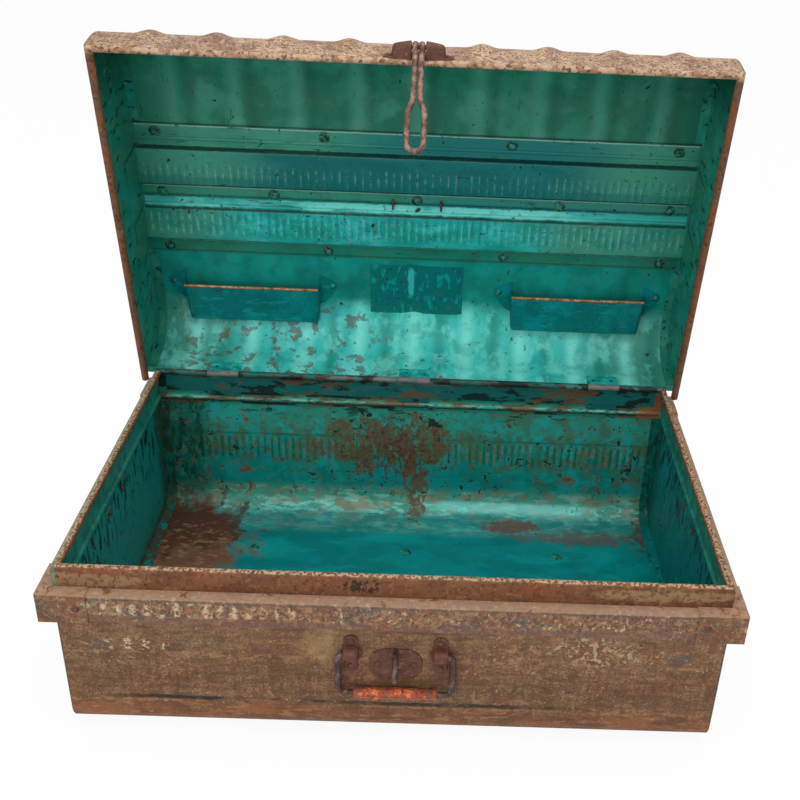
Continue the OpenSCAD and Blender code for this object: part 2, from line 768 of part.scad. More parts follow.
module lid_right_end() color("teal") lid_pose() lid_end();

// Rolled rim: the sheet's edge is rolled round a wire, the slot takes the sheet above it.
module lid_edge_bead() color("sienna") lid_pose() difference() {
    union() {
        translate([0, -out_y + front_bead_r, front_bead_z]) rod_x(2 * bead_x, front_bead_r);
        for (s = [-1, 1]) {
            translate([s * bead_x, bead_y, side_bead_z]) sphere(side_bead_r);
            translate([s * bead_x, (bead_y + axis_y) / 2, side_bead_z]) rod_y(axis_y - bead_y, side_bead_r);
            translate([s * bead_x, axis_y, side_bead_z]) sphere(side_bead_r);
        }
    }
    box([-shell_end - seam, -out_y - eps, front_bead_z - 0.1], [shell_end + seam, -out_y + sheet + 0.1, lid_top]);
    for (s = [-1, 1]) translate([s * out_x, 0, side_bead_z + lid_h / 2 - 0.1])
        cube([2 * sheet + 0.2, 2 * out_y + 1, lid_h], center = true);
}

slope = 2;

// Sheet strip between two places of a section, with the thickness below the line.
module strip(a, b) {
    polygon([a, b, b - [0, sheet], a - [0, sheet]]);
}

module batten_section(edge, front, rear, edge2, drop1, drop2) {
    strip([edge, flange_z - drop1], [front - slope, flange_z - drop1]);
    strip([front - slope, flange_z - drop1], [front, lid_in - batten_rise]);
    strip([front, lid_in - batten_rise], [rear, lid_in - batten_rise]);
    strip([rear, lid_in - batten_rise], [rear + slope, flange_z - drop2]);
    strip([rear + slope, flange_z - drop2], [edge2, flange_z - drop2]);
}

module flange_bead(y, z, r = 1.8) {
    intersection() {
        translate([y, z]) circle(r);
        translate([y - r, z - 2 * r]) square([2 * r, 2 * r]);
    }
}

// Tab at the end of a web, turned down onto the end wall.
module end_tab(front, rear, low_front, low_rear, hole) {
    top = lid_in - batten_rise;
    for (s = [-1, 1]) translate([s * (batten_end - sheet / 2), 0, 0]) difference() {
        along_x(sheet) polygon([[front, top], [rear, top], [low_rear, top - tab_drop], [low_front, top - tab_drop]]);
        translate([0, hole[0], hole[1]]) rod_x(4 * sheet, shank_r + 0.1);
    }
}

module batten_holes(xs, y) {
    for (x = xs) translate([x, y, lid_in - hole_l / 2]) cylinder(h = hole_l, r = shank_r + 0.1);
}

module lid_front_batten() color("darkcyan") lid_pose() {
    difference() {
        along_x(2 * batten_end) union() {
            batten_section(-flange_out, web1_front, web1_rear, 8, 0, 0);
            flange_bead(-66, flange_z - sheet + 0.1);
        }
        batten_holes(row1_x, -row_y);
        batten_holes(row2_x, 0);
        for (s = [-1, 1]) translate([s * pin_x, pin_y, lid_in - hole_l / 2])
            cylinder(h = hole_l, r = 2 * pin_wire_r + 0.5);
    }
    end_tab(web1_front, web1_rear, tab1_low[0], tab1_low[1], tab1_hole);
}

module lid_rear_batten() color("darkcyan") lid_pose() {
    difference() {
        along_x(2 * batten_end) union() {
            batten_section(-9, web2_front, web2_rear, flange_out, lap, 0);
            flange_bead(14, flange_z - lap - sheet + 0.1);
        }
        batten_holes(row2_x, 0);
        batten_holes(row1_x, row_y);
        for (s = [-1, 1]) translate([s * pin_x, pin_y, lid_in - hole_l / 2])
            cylinder(h = hole_l, r = 2 * pin_wire_r + 0.5);
    }
    end_tab(web2_front + tab_skew, web2_rear, tab2_low[0], tab2_low[1], tab2_hole);
}

// Places of the batten rivets: where the head bears, from the inside of the lid.
module at_batten_rivets(gap) {
    for (x = row1_x) {
        translate([x, -row_y, row_z - gap]) children();
        translate([x, row_y, row_z - gap]) children();
    }
    for (x = row2_x) translate([x, 0, row2_z - gap]) children();
}

module batten_rivets() color("cadetblue") lid_pose() {
    at_batten_rivets(washer_t + 0.1) mirror([0, 0, 1]) rivet(3 * sheet + washer_t);
    for (s = [-1, 1], h = [tab1_hole, tab2_hole])
        translate([s * (batten_end - sheet - 0.05), h[0], h[1]]) rotate([0, -s * 90, 0]) rivet(lap + sheet, 3, 1.6);
}

module batten_washers() color("cadetblue") lid_pose() at_batten_rivets(washer_t + 0.05) washer();

module at_strap_rivets() for (x = strap_x, s = [-1, 1])
    translate([x + s * strap_rivet_x, rim_y - sheet - 0.65, axis_z + strap_rivet_up]) rotate([90, 0, 0]) children();

module hinge_strap() difference() {
    union() {
        rod_x(strap_w, sleeve_r);
        box([-strap_w / 2, rim_y - axis_y - sheet - 0.6, 0],
            [strap_w / 2, rim_y - axis_y - 0.6, rim_bead_r + strap_tail]);
    }
    rod_x(strap_w + 1, wire_r + strap_fit);
    for (s = [-1, 1]) translate([s * strap_rivet_x, 0, strap_rivet_up]) rod_y(40, shank_r + 0.1);
}

module hinge_straps() color("slategray") lid_pose() for (x = strap_x)
    translate([x, axis_y, axis_z]) hinge_strap();

module strap_rivets() color("slategray") lid_pose() at_strap_rivets() rivet(2 * sheet + 0.5, 3, 1.2);

// Pocket on the right side of the lid: front sheet, bottom, two cheeks and two ears.
pocket_end_y = pocket_lip_y + pocket_d;
pocket_rivet_x = pocket_l / 2 + pocket_rivet_out;

function inner_top(y) = lid_top - shoulder_r
    + sqrt(pow(shoulder_r - sheet, 2) - pow(max(0, y - lid_back + shoulder_r), 2));

module pocket() difference() {
    translate([pocket_mid, 0, 0]) {
        box([-pocket_l / 2, pocket_lip_y + lip_wire_r + 0.4, lip_z], [pocket_l / 2, pocket_end_y, lip_z + sheet]);
        box([-pocket_l / 2, pocket_end_y - sheet, lip_z],
            [pocket_l / 2, pocket_end_y, inner_top(pocket_end_y) - seam]);
        for (s = [-1, 1]) pocket_cheek_wall(s);
        for (s = [-1, 1]) pocket_ear(s);
    }
    for (s = [-1, 1])
        translate([pocket_mid + s * pocket_rivet_x, pocket_lip_y + pocket_rivet_y, lid_in - hole_l / 2])
        cylinder(h = hole_l, r = shank_r + 0.1);
}

module pocket_cheek_wall(s) translate([s * (pocket_l / 2 - sheet / 2), 0, 0]) along_x(sheet)
    polygon([[pocket_lip_y + 4, lip_z], [pocket_end_y, lip_z], [pocket_end_y, inner_top(pocket_end_y) - seam],
        [lid_back - shoulder_r, lid_in - seam], [pocket_lip_y + 4, lid_in - seam]]);

module pocket_ear(s) translate([0, 0, lid_in - seam - sheet]) linear_extrude(sheet)
    polygon([[s * (pocket_l / 2 - sheet / 2), pocket_lip_y - ear_front],
        [s * (pocket_l / 2 + ear_w), pocket_lip_y - pocket_rivet_y],
        [s * (pocket_l / 2 + ear_w), pocket_lip_y + 8 * sheet],
        [s * (pocket_l / 2 + 4 * sheet), pocket_lip_y + ear_back],
        [s * (pocket_l / 2 - sheet / 2), pocket_lip_y + ear_back]]);

module left_pocket() color("darkcyan") lid_pose() mirror([1, 0, 0]) pocket();

module right_pocket() color("darkcyan") lid_pose() pocket();

module lip_wires() color("chocolate") lid_pose() for (s = [-1, 1])
    translate([s * pocket_mid, pocket_lip_y + 0.3, lip_z + sheet / 2]) rod_x(pocket_l, lip_wire_r);

module at_pocket_rivets() for (m = [-1, 1], s = [-1, 1])
    translate([m * pocket_mid + s * pocket_rivet_x, pocket_lip_y + pocket_rivet_y, lid_in - seam - sheet - 0.05])
        mirror([0, 0, 1]) children();

module pocket_rivets() color("cadetblue") lid_pose() at_pocket_rivets() rivet(2 * sheet + 0.2);

// Batwing plate: two tapered half tubes over the pin, a notch between them and flat wings.
hasp_gap = 15;
hasp_tube_l = 20;
tube_in_r = 6;
tube_out_r = 3.4;
wing_x = 37;
wing_z = 3;
wing_low = 6;
hump_x = 12;
hump_z = 14;
notch_z = 1.5;

module hasp_plate_outline() polygon(concat(
    [[-wing_x, -wing_z], [-wing_x, wing_z], [-hasp_rivet_x, 7], [-hump_x, hump_z], [hump_x, hump_z]],
    [[hasp_rivet_x, 7], [wing_x, wing_z], [wing_x, -wing_z], [hasp_rivet_x, -wing_low], [hasp_gap / 2, -wing_low]],
    [[hasp_gap / 2, -notch_z], [-hasp_gap / 2, -notch_z], [-hasp_gap / 2, -wing_low], [-hasp_rivet_x, -wing_low]]));

// Half tube on the right of the loops, with a solid back down to the plate.
module hasp_tube() {
    translate([hasp_gap / 2, -hasp_out + 0.05, 0]) rotate([0, 90, 0])
        cylinder(h = hasp_tube_l, r1 = tube_in_r, r2 = tube_out_r);
    rotate([90, 0, 0]) linear_extrude(hasp_out - 0.05) translate([hasp_gap / 2, 0])
        polygon([[0, -tube_in_r], [hasp_tube_l, -tube_out_r], [hasp_tube_l, tube_out_r], [0, tube_in_r]]);
}

module hasp_plate() color("brown") lid_pose() translate([lock_x, -out_y - 0.05, hasp_z]) difference() {
    union() {
        rotate([90, 0, 0]) linear_extrude(plate_t) hasp_plate_outline();
        for (m = [0, 1]) mirror([m, 0, 0]) hasp_tube();
    }
    translate([0, -hasp_out + 0.05, 0]) rod_x(3 * wing_x, hasp_pin_r + 0.1);
    for (s = [-1, 1]) translate([s * hasp_rivet_x, 0, 0]) rod_y(8 * sheet, shank_r + 0.1);
}

module at_hasp_rivets() for (s = [-1, 1])
    translate([lock_x + s * hasp_rivet_x, -out_y - 0.1 - plate_t, hasp_z]) rotate([90, 0, 0]) children();

module hasp_rivets() color("brown") lid_pose() at_hasp_rivets() rivet(plate_t + sheet, 3, 1.4);

module hasp_pose() lid_pose() translate([lock_x, hasp_y, hasp_z]) rotate([hasp_rest, 0, 0]) children();

module hasp_pin() color("dimgray") hasp_pose() rod_x(hasp_gap + 2 * hasp_tube_l - 2, hasp_pin_r);

// Hairpin of wire that hangs from the X axis: two loops on the pin, a double stem and a long eye.
stem_x = hasp_r + 0.4;
eye_x = eye_w / 2 + hasp_r;
eye_l = hasp_l - hasp_stem;
flare_top = 19;
flare_run = 12;
flare_a = atan((eye_x - stem_x) / flare_run);
knee = 0.9;
knee_r = hasp_r + 0.3;

module hasp() color("rosybrown") hasp_pose() difference() {
    union() {
        for (s = [-1, 1]) {
            translate([s * (stem_x + 0.15), 0, 0]) rod_x(2 * hasp_r + 0.6, loop_r);
            translate([s * stem_x, 0, -hasp_stem + knee / 2]) cylinder(h = hasp_stem - knee / 2, r = hasp_r);
            translate([s * stem_x, 0, -hasp_stem]) sphere(hasp_r + 0.15);
        }
        translate([0, 0, -hasp_stem]) rotate([hasp_bend, 0, 0]) hasp_eye();
        translate([0, 0, -hasp_stem / 2]) cube([2 * stem_x, hasp_r, hasp_stem - 4 * hasp_r], center = true);
    }
    rod_x(60, hasp_pin_r + 0.1);
}

module hasp_eye() {
    for (s = [-1, 1]) {
        translate([s * stem_x, 0, -flare_top + knee]) cylinder(h = flare_top - 1.5 * knee, r = hasp_r);
        translate([s * stem_x, 0, -flare_top]) sphere(knee_r);
        translate([s * stem_x, 0, -flare_top]) rotate([0, s * (180 - flare_a), 0]) translate([0, 0, knee])
            cylinder(h = flare_run / cos(flare_a) - 2 * knee, r = hasp_r);
        translate([s * eye_x, 0, -flare_top - flare_run]) sphere(knee_r);
        translate([s * eye_x, 0, -eye_l + eye_x])
            cylinder(h = eye_l - eye_x - flare_top - flare_run - knee, r = hasp_r);
    }
    translate([0, 0, -eye_l + eye_x]) rotate([90, 180, 0]) rotate_extrude(angle = 180)
        translate([eye_x, 0]) circle(hasp_r);
    translate([0, 0, -flare_top / 2]) cube([2 * stem_x, hasp_r, flare_top - 8], center = true);
}

// Split pins: an eye over the lid, a shank through it and two ends bent apart inside.
pin_eye_r = top_bail_r + 0.1 + pin_wire_r;
pin_eye_z = lid_top + pin_eye_r + pin_wire_r + 0.1;
top_rest = asin((pin_eye_z - lid_top - top_bail_r - play) / top_bail_l);

module split_pins() color("darkslategray") lid_pose() for (s = [-1, 1]) translate([s * pin_x, pin_y, 0]) {
    translate([0, 0, pin_eye_z]) rotate([0, 90, 0]) rotate_extrude() translate([pin_eye_r, 0]) circle(pin_wire_r);
    translate([0, 0, lid_in - 5]) cylinder(h = sheet + 5.8, r = 2 * pin_wire_r);
    for (t = [-1, 1]) translate([0, 0, lid_in - 5]) rotate([t * 65, 0, 0]) translate([0, 0, -8])
        cylinder(h = 8, r = pin_wire_r);
}

module top_bail() color("dimgray") lid_pose() translate([0, pin_y, pin_eye_z]) rotate([90 - top_rest, 0, 0])
    bail(pin_x + 7, top_bail_l, top_bail_r, 13);

body_wrap();
left_end_panel();
right_end_panel();
front_rim();
left_rim();
right_rim();
back_rim();
hinge_sleeve();
hinge_tabs();
hinge_wire();
front_band();
back_band();
left_band();
right_band();
front_left_corner();
front_right_corner();
back_left_corner();
back_right_corner();
corner_rivets();
front_runner();
rear_runner();
runner_rivets();
runner_washers();
right_repair_strip();
repair_rivets();
staple_plate();
staple();
staple_rivets();
left_eye_plate();
right_eye_plate();
eye_plate_rivets();
front_bail();
front_grip();
left_handle_plate();
left_handle_rivets();
left_bail();
right_handle_plate();
right_handle_rivets();
right_bail();
lid_shell();
lid_left_end();
lid_right_end();
lid_edge_bead();
lid_front_batten();
lid_rear_batten();
batten_rivets();
batten_washers();
hinge_straps();
strap_rivets();
left_pocket();
right_pocket();
lip_wires();
pocket_rivets();
hasp_plate();
hasp_rivets();
hasp_pin();
hasp();
split_pins();
top_bail();
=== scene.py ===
import json
import logging
import math
from dataclasses import dataclass, field, replace
from enum import Enum
from typing import Callable, Optional, Sequence, Union

import bpy
import numpy as np
from mathutils import Matrix, Vector, noise

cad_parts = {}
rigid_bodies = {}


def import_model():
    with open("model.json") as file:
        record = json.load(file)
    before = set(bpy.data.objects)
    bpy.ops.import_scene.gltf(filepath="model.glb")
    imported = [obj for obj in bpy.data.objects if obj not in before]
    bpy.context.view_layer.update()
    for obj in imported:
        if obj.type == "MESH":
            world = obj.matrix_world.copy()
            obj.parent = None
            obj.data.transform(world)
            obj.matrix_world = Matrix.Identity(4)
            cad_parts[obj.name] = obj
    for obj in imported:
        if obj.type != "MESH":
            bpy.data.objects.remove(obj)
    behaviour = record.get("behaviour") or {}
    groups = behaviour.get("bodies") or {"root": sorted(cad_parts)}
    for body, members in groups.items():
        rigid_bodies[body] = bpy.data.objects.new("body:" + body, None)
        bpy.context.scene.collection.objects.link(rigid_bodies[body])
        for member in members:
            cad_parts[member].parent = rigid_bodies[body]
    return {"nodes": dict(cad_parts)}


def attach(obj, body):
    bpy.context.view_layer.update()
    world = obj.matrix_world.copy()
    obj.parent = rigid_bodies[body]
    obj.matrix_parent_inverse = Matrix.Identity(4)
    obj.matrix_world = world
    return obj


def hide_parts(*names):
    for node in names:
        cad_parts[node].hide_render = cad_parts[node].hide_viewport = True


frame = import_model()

# Sizes in the classes are in millimetres, as the sheet-metal worker writes them. Blender works in metres.
MM = 0.001
SIDES = ((-1, "left"), (1, "right"))
# Distance between the ridges of the washboards, distance between the lid's ribs, and the middle rib's place.
PITCH = 9.5
RIB_PITCH = 71.5
RIB_SHIFT = -2.2

log = logging.getLogger("trunk")

Colour = tuple[float, float, float, float]
Point = tuple[float, float, float]
Mesh = bpy.types.Mesh
Material = bpy.types.Material
Tree = bpy.types.NodeTree
Socket = bpy.types.NodeSocket
Value = Union[Socket, float]


def tint(red: int, green: int, blue: int) -> Colour:
    """Turns a screen colour into the linear colour that a shader takes.

    Args:
        red: Red, 0 to 255.
        green: Green, 0 to 255.
        blue: Blue, 0 to 255.

    Returns:
        The linear colour with full alpha.
    """
    def linear(level: int) -> float:
        """Linear share of one screen level."""
        share = level / 255
        return share / 12.92 if share <= 0.04045 else ((share + 0.055) / 1.055) ** 2.4
    return (linear(red), linear(green), linear(blue), 1.0)


class Paint(Enum):
    """Colours seen on the trunk."""

    GREEN = tint(36, 122, 98)
    DEEP_GREEN = tint(16, 84, 66)
    SEA_GREEN = tint(70, 152, 130)
    TEAL = tint(12, 134, 120)
    DEEP_TEAL = tint(0, 98, 94)
    WEB_TEAL = tint(0, 108, 108)
    BLUE_TEAL = tint(0, 132, 134)
    CYAN = tint(10, 168, 164)
    TURQUOISE = tint(62, 206, 200)
    BRIGHT = tint(134, 238, 226)
    PALE = tint(160, 206, 186)
    GREY_GREEN = tint(80, 160, 138)
    OLIVE = tint(74, 98, 66)
    # Near black: soot, dark chips and scratches, and also painted shade lines at steps and edges.
    SOOT_AND_SHADE = tint(14, 20, 20)
    SLATE = tint(76, 80, 76)
    RED_CHIP = tint(92, 44, 34)
    RUST = tint(120, 70, 42)
    DARK_RUST = tint(74, 46, 33)
    ORANGE_RUST = tint(146, 86, 48)
    OLIVE_BROWN = tint(100, 72, 48)
    BROWN = tint(128, 88, 58)
    DARK_BROWN = tint(82, 56, 38)
    TAN = tint(160, 122, 86)
    GOLD = tint(176, 146, 98)
    KHAKI = tint(144, 116, 82)
    BEIGE = tint(206, 184, 148)
    SAND = tint(192, 162, 134)
    ROSE_SAND = tint(176, 144, 118)
    PURPLE_BROWN = tint(106, 74, 64)
    GREY_STEEL = tint(118, 112, 108)
    BLUE_STEEL = tint(84, 118, 118)
    MAROON = tint(96, 58, 46)
    IRON = tint(60, 40, 33)
    ORANGE_RED = tint(160, 74, 50)
    ORANGE = tint(232, 118, 62)
    ROSY_IRON = tint(134, 104, 92)
    COPPER = tint(190, 112, 66)


class Axis(Enum):
    """Directions of the trunk."""

    X = 0
    Y = 1
    Z = 2


def add_node(tree: Tree, kind: str, inputs: dict, **settings: object) -> bpy.types.Node:
    """Adds a node to a shader tree or a geometry tree.

    Args:
        tree: The tree.
        kind: Blender's name of the node type.
        inputs: Sockets or plain values by input name or number.
        **settings: Properties of the node.

    Returns:
        The new node.
    """
    made = tree.nodes.new(kind)
    for key, value in settings.items():
        setattr(made, key, value)
    for key, value in inputs.items():
        if isinstance(value, Socket):
            tree.links.new(value, made.inputs[key])
        else:
            made.inputs[key].default_value = value
    return made


class Graph:
    """Adds shader nodes to one material and links them."""

    def __init__(self, name: str) -> None:
        """Makes an empty material.

        Args:
            name: The material's name.
        """
        self.material = bpy.data.materials.new(name)
        self.material.use_nodes = True
        self.tree = self.material.node_tree
        self.tree.nodes.clear()
        self.place: Optional[Socket] = None

    def node(self, kind: str, inputs: dict, **settings: object) -> bpy.types.Node:
        """Adds a node to the material's tree."""
        return add_node(self.tree, kind, inputs, **settings)

    def math(self, operation: str, first: Value, second: Value = 0.0, clamp: bool = False) -> Socket:
        """Adds a math node and returns its result."""
        return self.node("ShaderNodeMath", {0: first, 1: second}, operation=operation, use_clamp=clamp).outputs[0]

    def ramp(self, value: Value, low: float, high: float) -> Socket:
        """Turns low to high into 0 to 1 with soft ends; low may be the greater one."""
        if low > high:
            return self.math("SUBTRACT", 1.0, self.ramp(value, high, low))
        return self.node("ShaderNodeMapRange", {"Value": value, "From Min": low, "From Max": high},
                         interpolation_type="SMOOTHSTEP").outputs[0]

    def mix(self, share: Value, first: Union[Socket, Colour], second: Union[Socket, Colour]) -> Socket:
        """Mixes two colours."""
        made = self.node("ShaderNodeMix", {0: share, 6: first, 7: second}, data_type="RGBA")
        return made.outputs[2]

    def grain(self, size: float, stretch: Point = (1, 1, 1), detail: float = 4, coarse: float = 0.6,
              shift: float = 0.0, swirl: float = 0.0) -> Socket:
        """Adds noise in the piece's own coordinates.

        Args:
            size: Size of a feature in millimetres.
            stretch: Factors on the coordinates; a small one draws the pattern out along that axis.
            detail: Octaves.
            coarse: Weight of the finer octaves.
            shift: Moves the pattern, in features.
            swirl: Distortion.

        Returns:
            The noise, about 0.5 in the middle.
        """
        moved = self.node("ShaderNodeVectorMath", {0: self.place, 1: stretch, 2: (shift * size * MM,) * 3},
                          operation="MULTIPLY_ADD").outputs[0]
        return self.node("ShaderNodeTexNoise", {"Vector": moved, "Scale": 1 / (size * MM), "Detail": detail,
                                                "Roughness": coarse, "Distortion": swirl}).outputs[0]

    def along(self, axis: Axis) -> Socket:
        """The coordinate along one axis, in millimetres."""
        parts = self.node("ShaderNodeSeparateXYZ", {0: self.place})
        return self.math("MULTIPLY", parts.outputs[axis.value], 1 / MM)


@dataclass(frozen=True, kw_only=True)
class Layer:
    """A coat or mark of a finish: where it lies, and what it does to colour, roughness and height."""

    paint: Optional[Paint] = None
    amount: float = 1.0
    rough: Optional[float] = None
    relief: float = 0.0
    within: tuple["Layer", ...] = ()
    outside: tuple["Layer", ...] = ()

    def shape(self, graph: Graph) -> Value:
        """The plain layer lies everywhere."""
        return 1.0

    def mask(self, graph: Graph) -> Value:
        """Works out where the layer shows.

        Args:
            graph: The material's graph.

        Returns:
            0 to 1, its shape limited by the layers that it lies within or keeps off.
        """
        mask = self.shape(graph)
        for limit in self.within:
            mask = graph.math("MULTIPLY", mask, limit.mask(graph))
        for limit in self.outside:
            mask = graph.math("MULTIPLY", mask, graph.math("SUBTRACT", 1.0, limit.mask(graph)))
        return graph.math("MULTIPLY", mask, self.amount)


@dataclass(frozen=True)
class Mottle(Layer):
    """Patches, chips, speckle or scratches from noise."""

    size: float
    low: float
    high: float
    stretch: Point = (1, 1, 1)
    detail: float = 4
    coarse: float = 0.6
    shift: float = 0.0
    swirl: float = 0.0

    def shape(self, graph: Graph) -> Value:
        """Noise above the low level."""
        level = graph.grain(self.size, self.stretch, self.detail, self.coarse, self.shift, self.swirl)
        return graph.ramp(level, self.low, self.high)


@dataclass(frozen=True)
class Spot(Layer):
    """A round or long patch with a ragged edge."""

    centre: Point
    reach: Point
    soft: float = 0.3
    ragged: float = 0.5
    size: float = 12.0

    def shape(self, graph: Graph) -> Value:
        """Full near the centre, nothing beyond the reach."""
        scale = tuple(1 / (r * MM) for r in self.reach)
        start = tuple(-c / r for c, r in zip(self.centre, self.reach))
        local = graph.node("ShaderNodeVectorMath", {0: graph.place, 1: scale, 2: start},
                           operation="MULTIPLY_ADD").outputs[0]
        far = graph.node("ShaderNodeVectorMath", {0: local}, operation="LENGTH").outputs["Value"]
        rag = graph.math("MULTIPLY", graph.math("SUBTRACT", graph.grain(self.size), 0.5), 2 * self.ragged)
        return graph.ramp(graph.math("ADD", far, rag), 1.0, 1.0 - self.soft)


@dataclass(frozen=True)
class Zone(Layer):
    """A band between two places along an axis."""

    axis: Axis
    start: float
    end: float
    soft: float = 3.0
    ragged: float = 0.0
    size: float = 15.0

    def shape(self, graph: Graph) -> Value:
        """Full between start and end."""
        place = graph.along(self.axis)
        if self.ragged:
            rag = graph.math("SUBTRACT", graph.grain(self.size), 0.5)
            place = graph.math("ADD", place, graph.math("MULTIPLY", rag, 2 * self.ragged))
        rise = graph.ramp(place, self.start - self.soft / 2, self.start + self.soft / 2)
        fall = graph.ramp(place, self.end + self.soft / 2, self.end - self.soft / 2)
        return graph.math("MULTIPLY", rise, fall)


@dataclass(frozen=True)
class Crests(Layer):
    """Strokes on ridges that repeat along the trunk's width."""

    pitch: float
    width: float
    offset: float = 0.0

    def shape(self, graph: Graph) -> Value:
        """Full on each crest."""
        place = graph.math("SUBTRACT", graph.along(Axis.X), self.offset)
        turns = graph.math("DIVIDE", place, self.pitch)
        away = graph.math("ABSOLUTE", graph.math("SUBTRACT", turns, graph.math("ROUND", turns)))
        return graph.ramp(away, self.width / self.pitch / 2, 0.0)


@dataclass(frozen=True)
class LidHinge:
    """Where the lid turns, and how far it is open."""

    axis_y: float = 206.0
    axis_z: float = 207.0
    open_angle: float = 80.5

    def opened(self, points: np.ndarray) -> np.ndarray:
        """Moves points drawn for the shut lid to the open one.

        Args:
            points: Places in millimetres, x, y and z last.

        Returns:
            The places on the open lid.
        """
        turn = math.radians(-self.open_angle)
        out = np.array(points, dtype=float)
        dy, dz = out[..., 1] - self.axis_y, out[..., 2] - self.axis_z
        out[..., 1] = self.axis_y + dy * math.cos(turn) - dz * math.sin(turn)
        out[..., 2] = self.axis_z + dy * math.sin(turn) + dz * math.cos(turn)
        return out

    def shut_place(self, graph: Graph, place: Socket) -> Socket:
        """Adds a mapping node that gives a point of the open lid its place on the shut one."""
        turn = math.radians(self.open_angle)
        pivot = Vector((0, self.axis_y, self.axis_z)) * MM
        shift = pivot - Matrix.Rotation(turn, 3, "X") @ pivot
        return graph.node("ShaderNodeMapping", {"Vector": place, "Location": tuple(shift),
                                                "Rotation": (turn, 0, 0)}).outputs[0]


HINGE = LidHinge()


@dataclass(frozen=True, kw_only=True)
class Finish:
    """A painted or bare metal surface."""

    name: str
    base: Paint
    rough: float = 0.5
    metallic: float = 0.0
    specular: float = 0.25
    on_lid: bool = False
    layers: tuple[Layer, ...] = ()

    def material(self) -> Material:
        """Builds the material.

        Returns:
            A material whose coats follow each other in the order of the layers.
        """
        graph = Graph(self.name)
        place = graph.node("ShaderNodeTexCoord", {}).outputs["Object"]
        graph.place = HINGE.shut_place(graph, place) if self.on_lid else place
        colour: Union[Socket, Colour] = self.base.value
        rough: Value = self.rough
        height: Optional[Socket] = None
        for layer in self.layers:
            mask = layer.mask(graph)
            if layer.paint is not None:
                colour = graph.mix(mask, colour, layer.paint.value)
            if layer.rough is not None:
                gap = graph.math("SUBTRACT", layer.rough, rough)
                rough = graph.math("ADD", rough, graph.math("MULTIPLY", gap, mask))
            if layer.relief:
                step = graph.math("MULTIPLY", mask, layer.relief * MM)
                height = step if height is None else graph.math("ADD", height, step)
        shader = graph.node("ShaderNodeBsdfPrincipled", {"Base Color": colour, "Roughness": rough,
                                                         "Metallic": self.metallic,
                                                         "Specular IOR Level": self.specular})
        if height is not None:
            bump = graph.node("ShaderNodeBump", {"Height": height, "Strength": 1.0, "Distance": 1.0})
            graph.tree.links.new(bump.outputs[0], shader.inputs["Normal"])
        graph.node("ShaderNodeOutputMaterial", {"Surface": shader.outputs[0]})
        return graph.material


def fine_tooth(relief: float = 0.05) -> Layer:
    """The slight roughness that old paint has everywhere."""
    return Mottle(size=2.2, low=0.3, high=0.7, relief=relief, detail=3)


def tone(paint: Paint, size: float, amount: float, level: float = 0.5, soft: float = 0.16,
         stretch: Point = (1, 1, 1), shift: float = 0.0, within: tuple[Layer, ...] = ()) -> Layer:
    """A soft, patchy change of colour; a higher level leaves less of it."""
    return Mottle(paint=paint, size=size, amount=amount, low=level - soft / 2, high=level + soft / 2,
                  stretch=stretch, shift=shift, within=within)


def chips(paint: Paint, size: float, level: float, amount: float = 0.9, shift: float = 0.0,
          within: tuple[Layer, ...] = (), edge: Paint = Paint.SEA_GREEN, spread: float = 0.5,
          stretch: Point = (1, 1, 1)) -> tuple[Layer, Layer]:
    """Paint that has flaked off in clusters of sharp chips, each with a thin edge in another colour."""
    cluster = Mottle(size=7 * size, low=spread - 0.04, high=spread + 0.05, shift=shift + 3, detail=2)
    flake = Mottle(paint=paint, size=size, low=level, high=level + 0.02, amount=amount, shift=shift, stretch=stretch,
                   detail=6, coarse=0.62, swirl=0.6, relief=-0.12, rough=0.75, within=(cluster, *within))
    return replace(flake, paint=edge, low=level - 0.035, high=level - 0.01, amount=0.4, relief=0.0), flake


def line(paint: Paint, axis: Axis, middle: float, width: float, amount: float = 0.8, wander: float = 1.0,
         within: tuple[Layer, ...] = ()) -> Layer:
    """A thin line at one height or depth."""
    return Zone(paint=paint, axis=axis, start=middle - width / 2, end=middle + width / 2, soft=width / 2,
                ragged=wander, size=9, amount=amount, within=within)


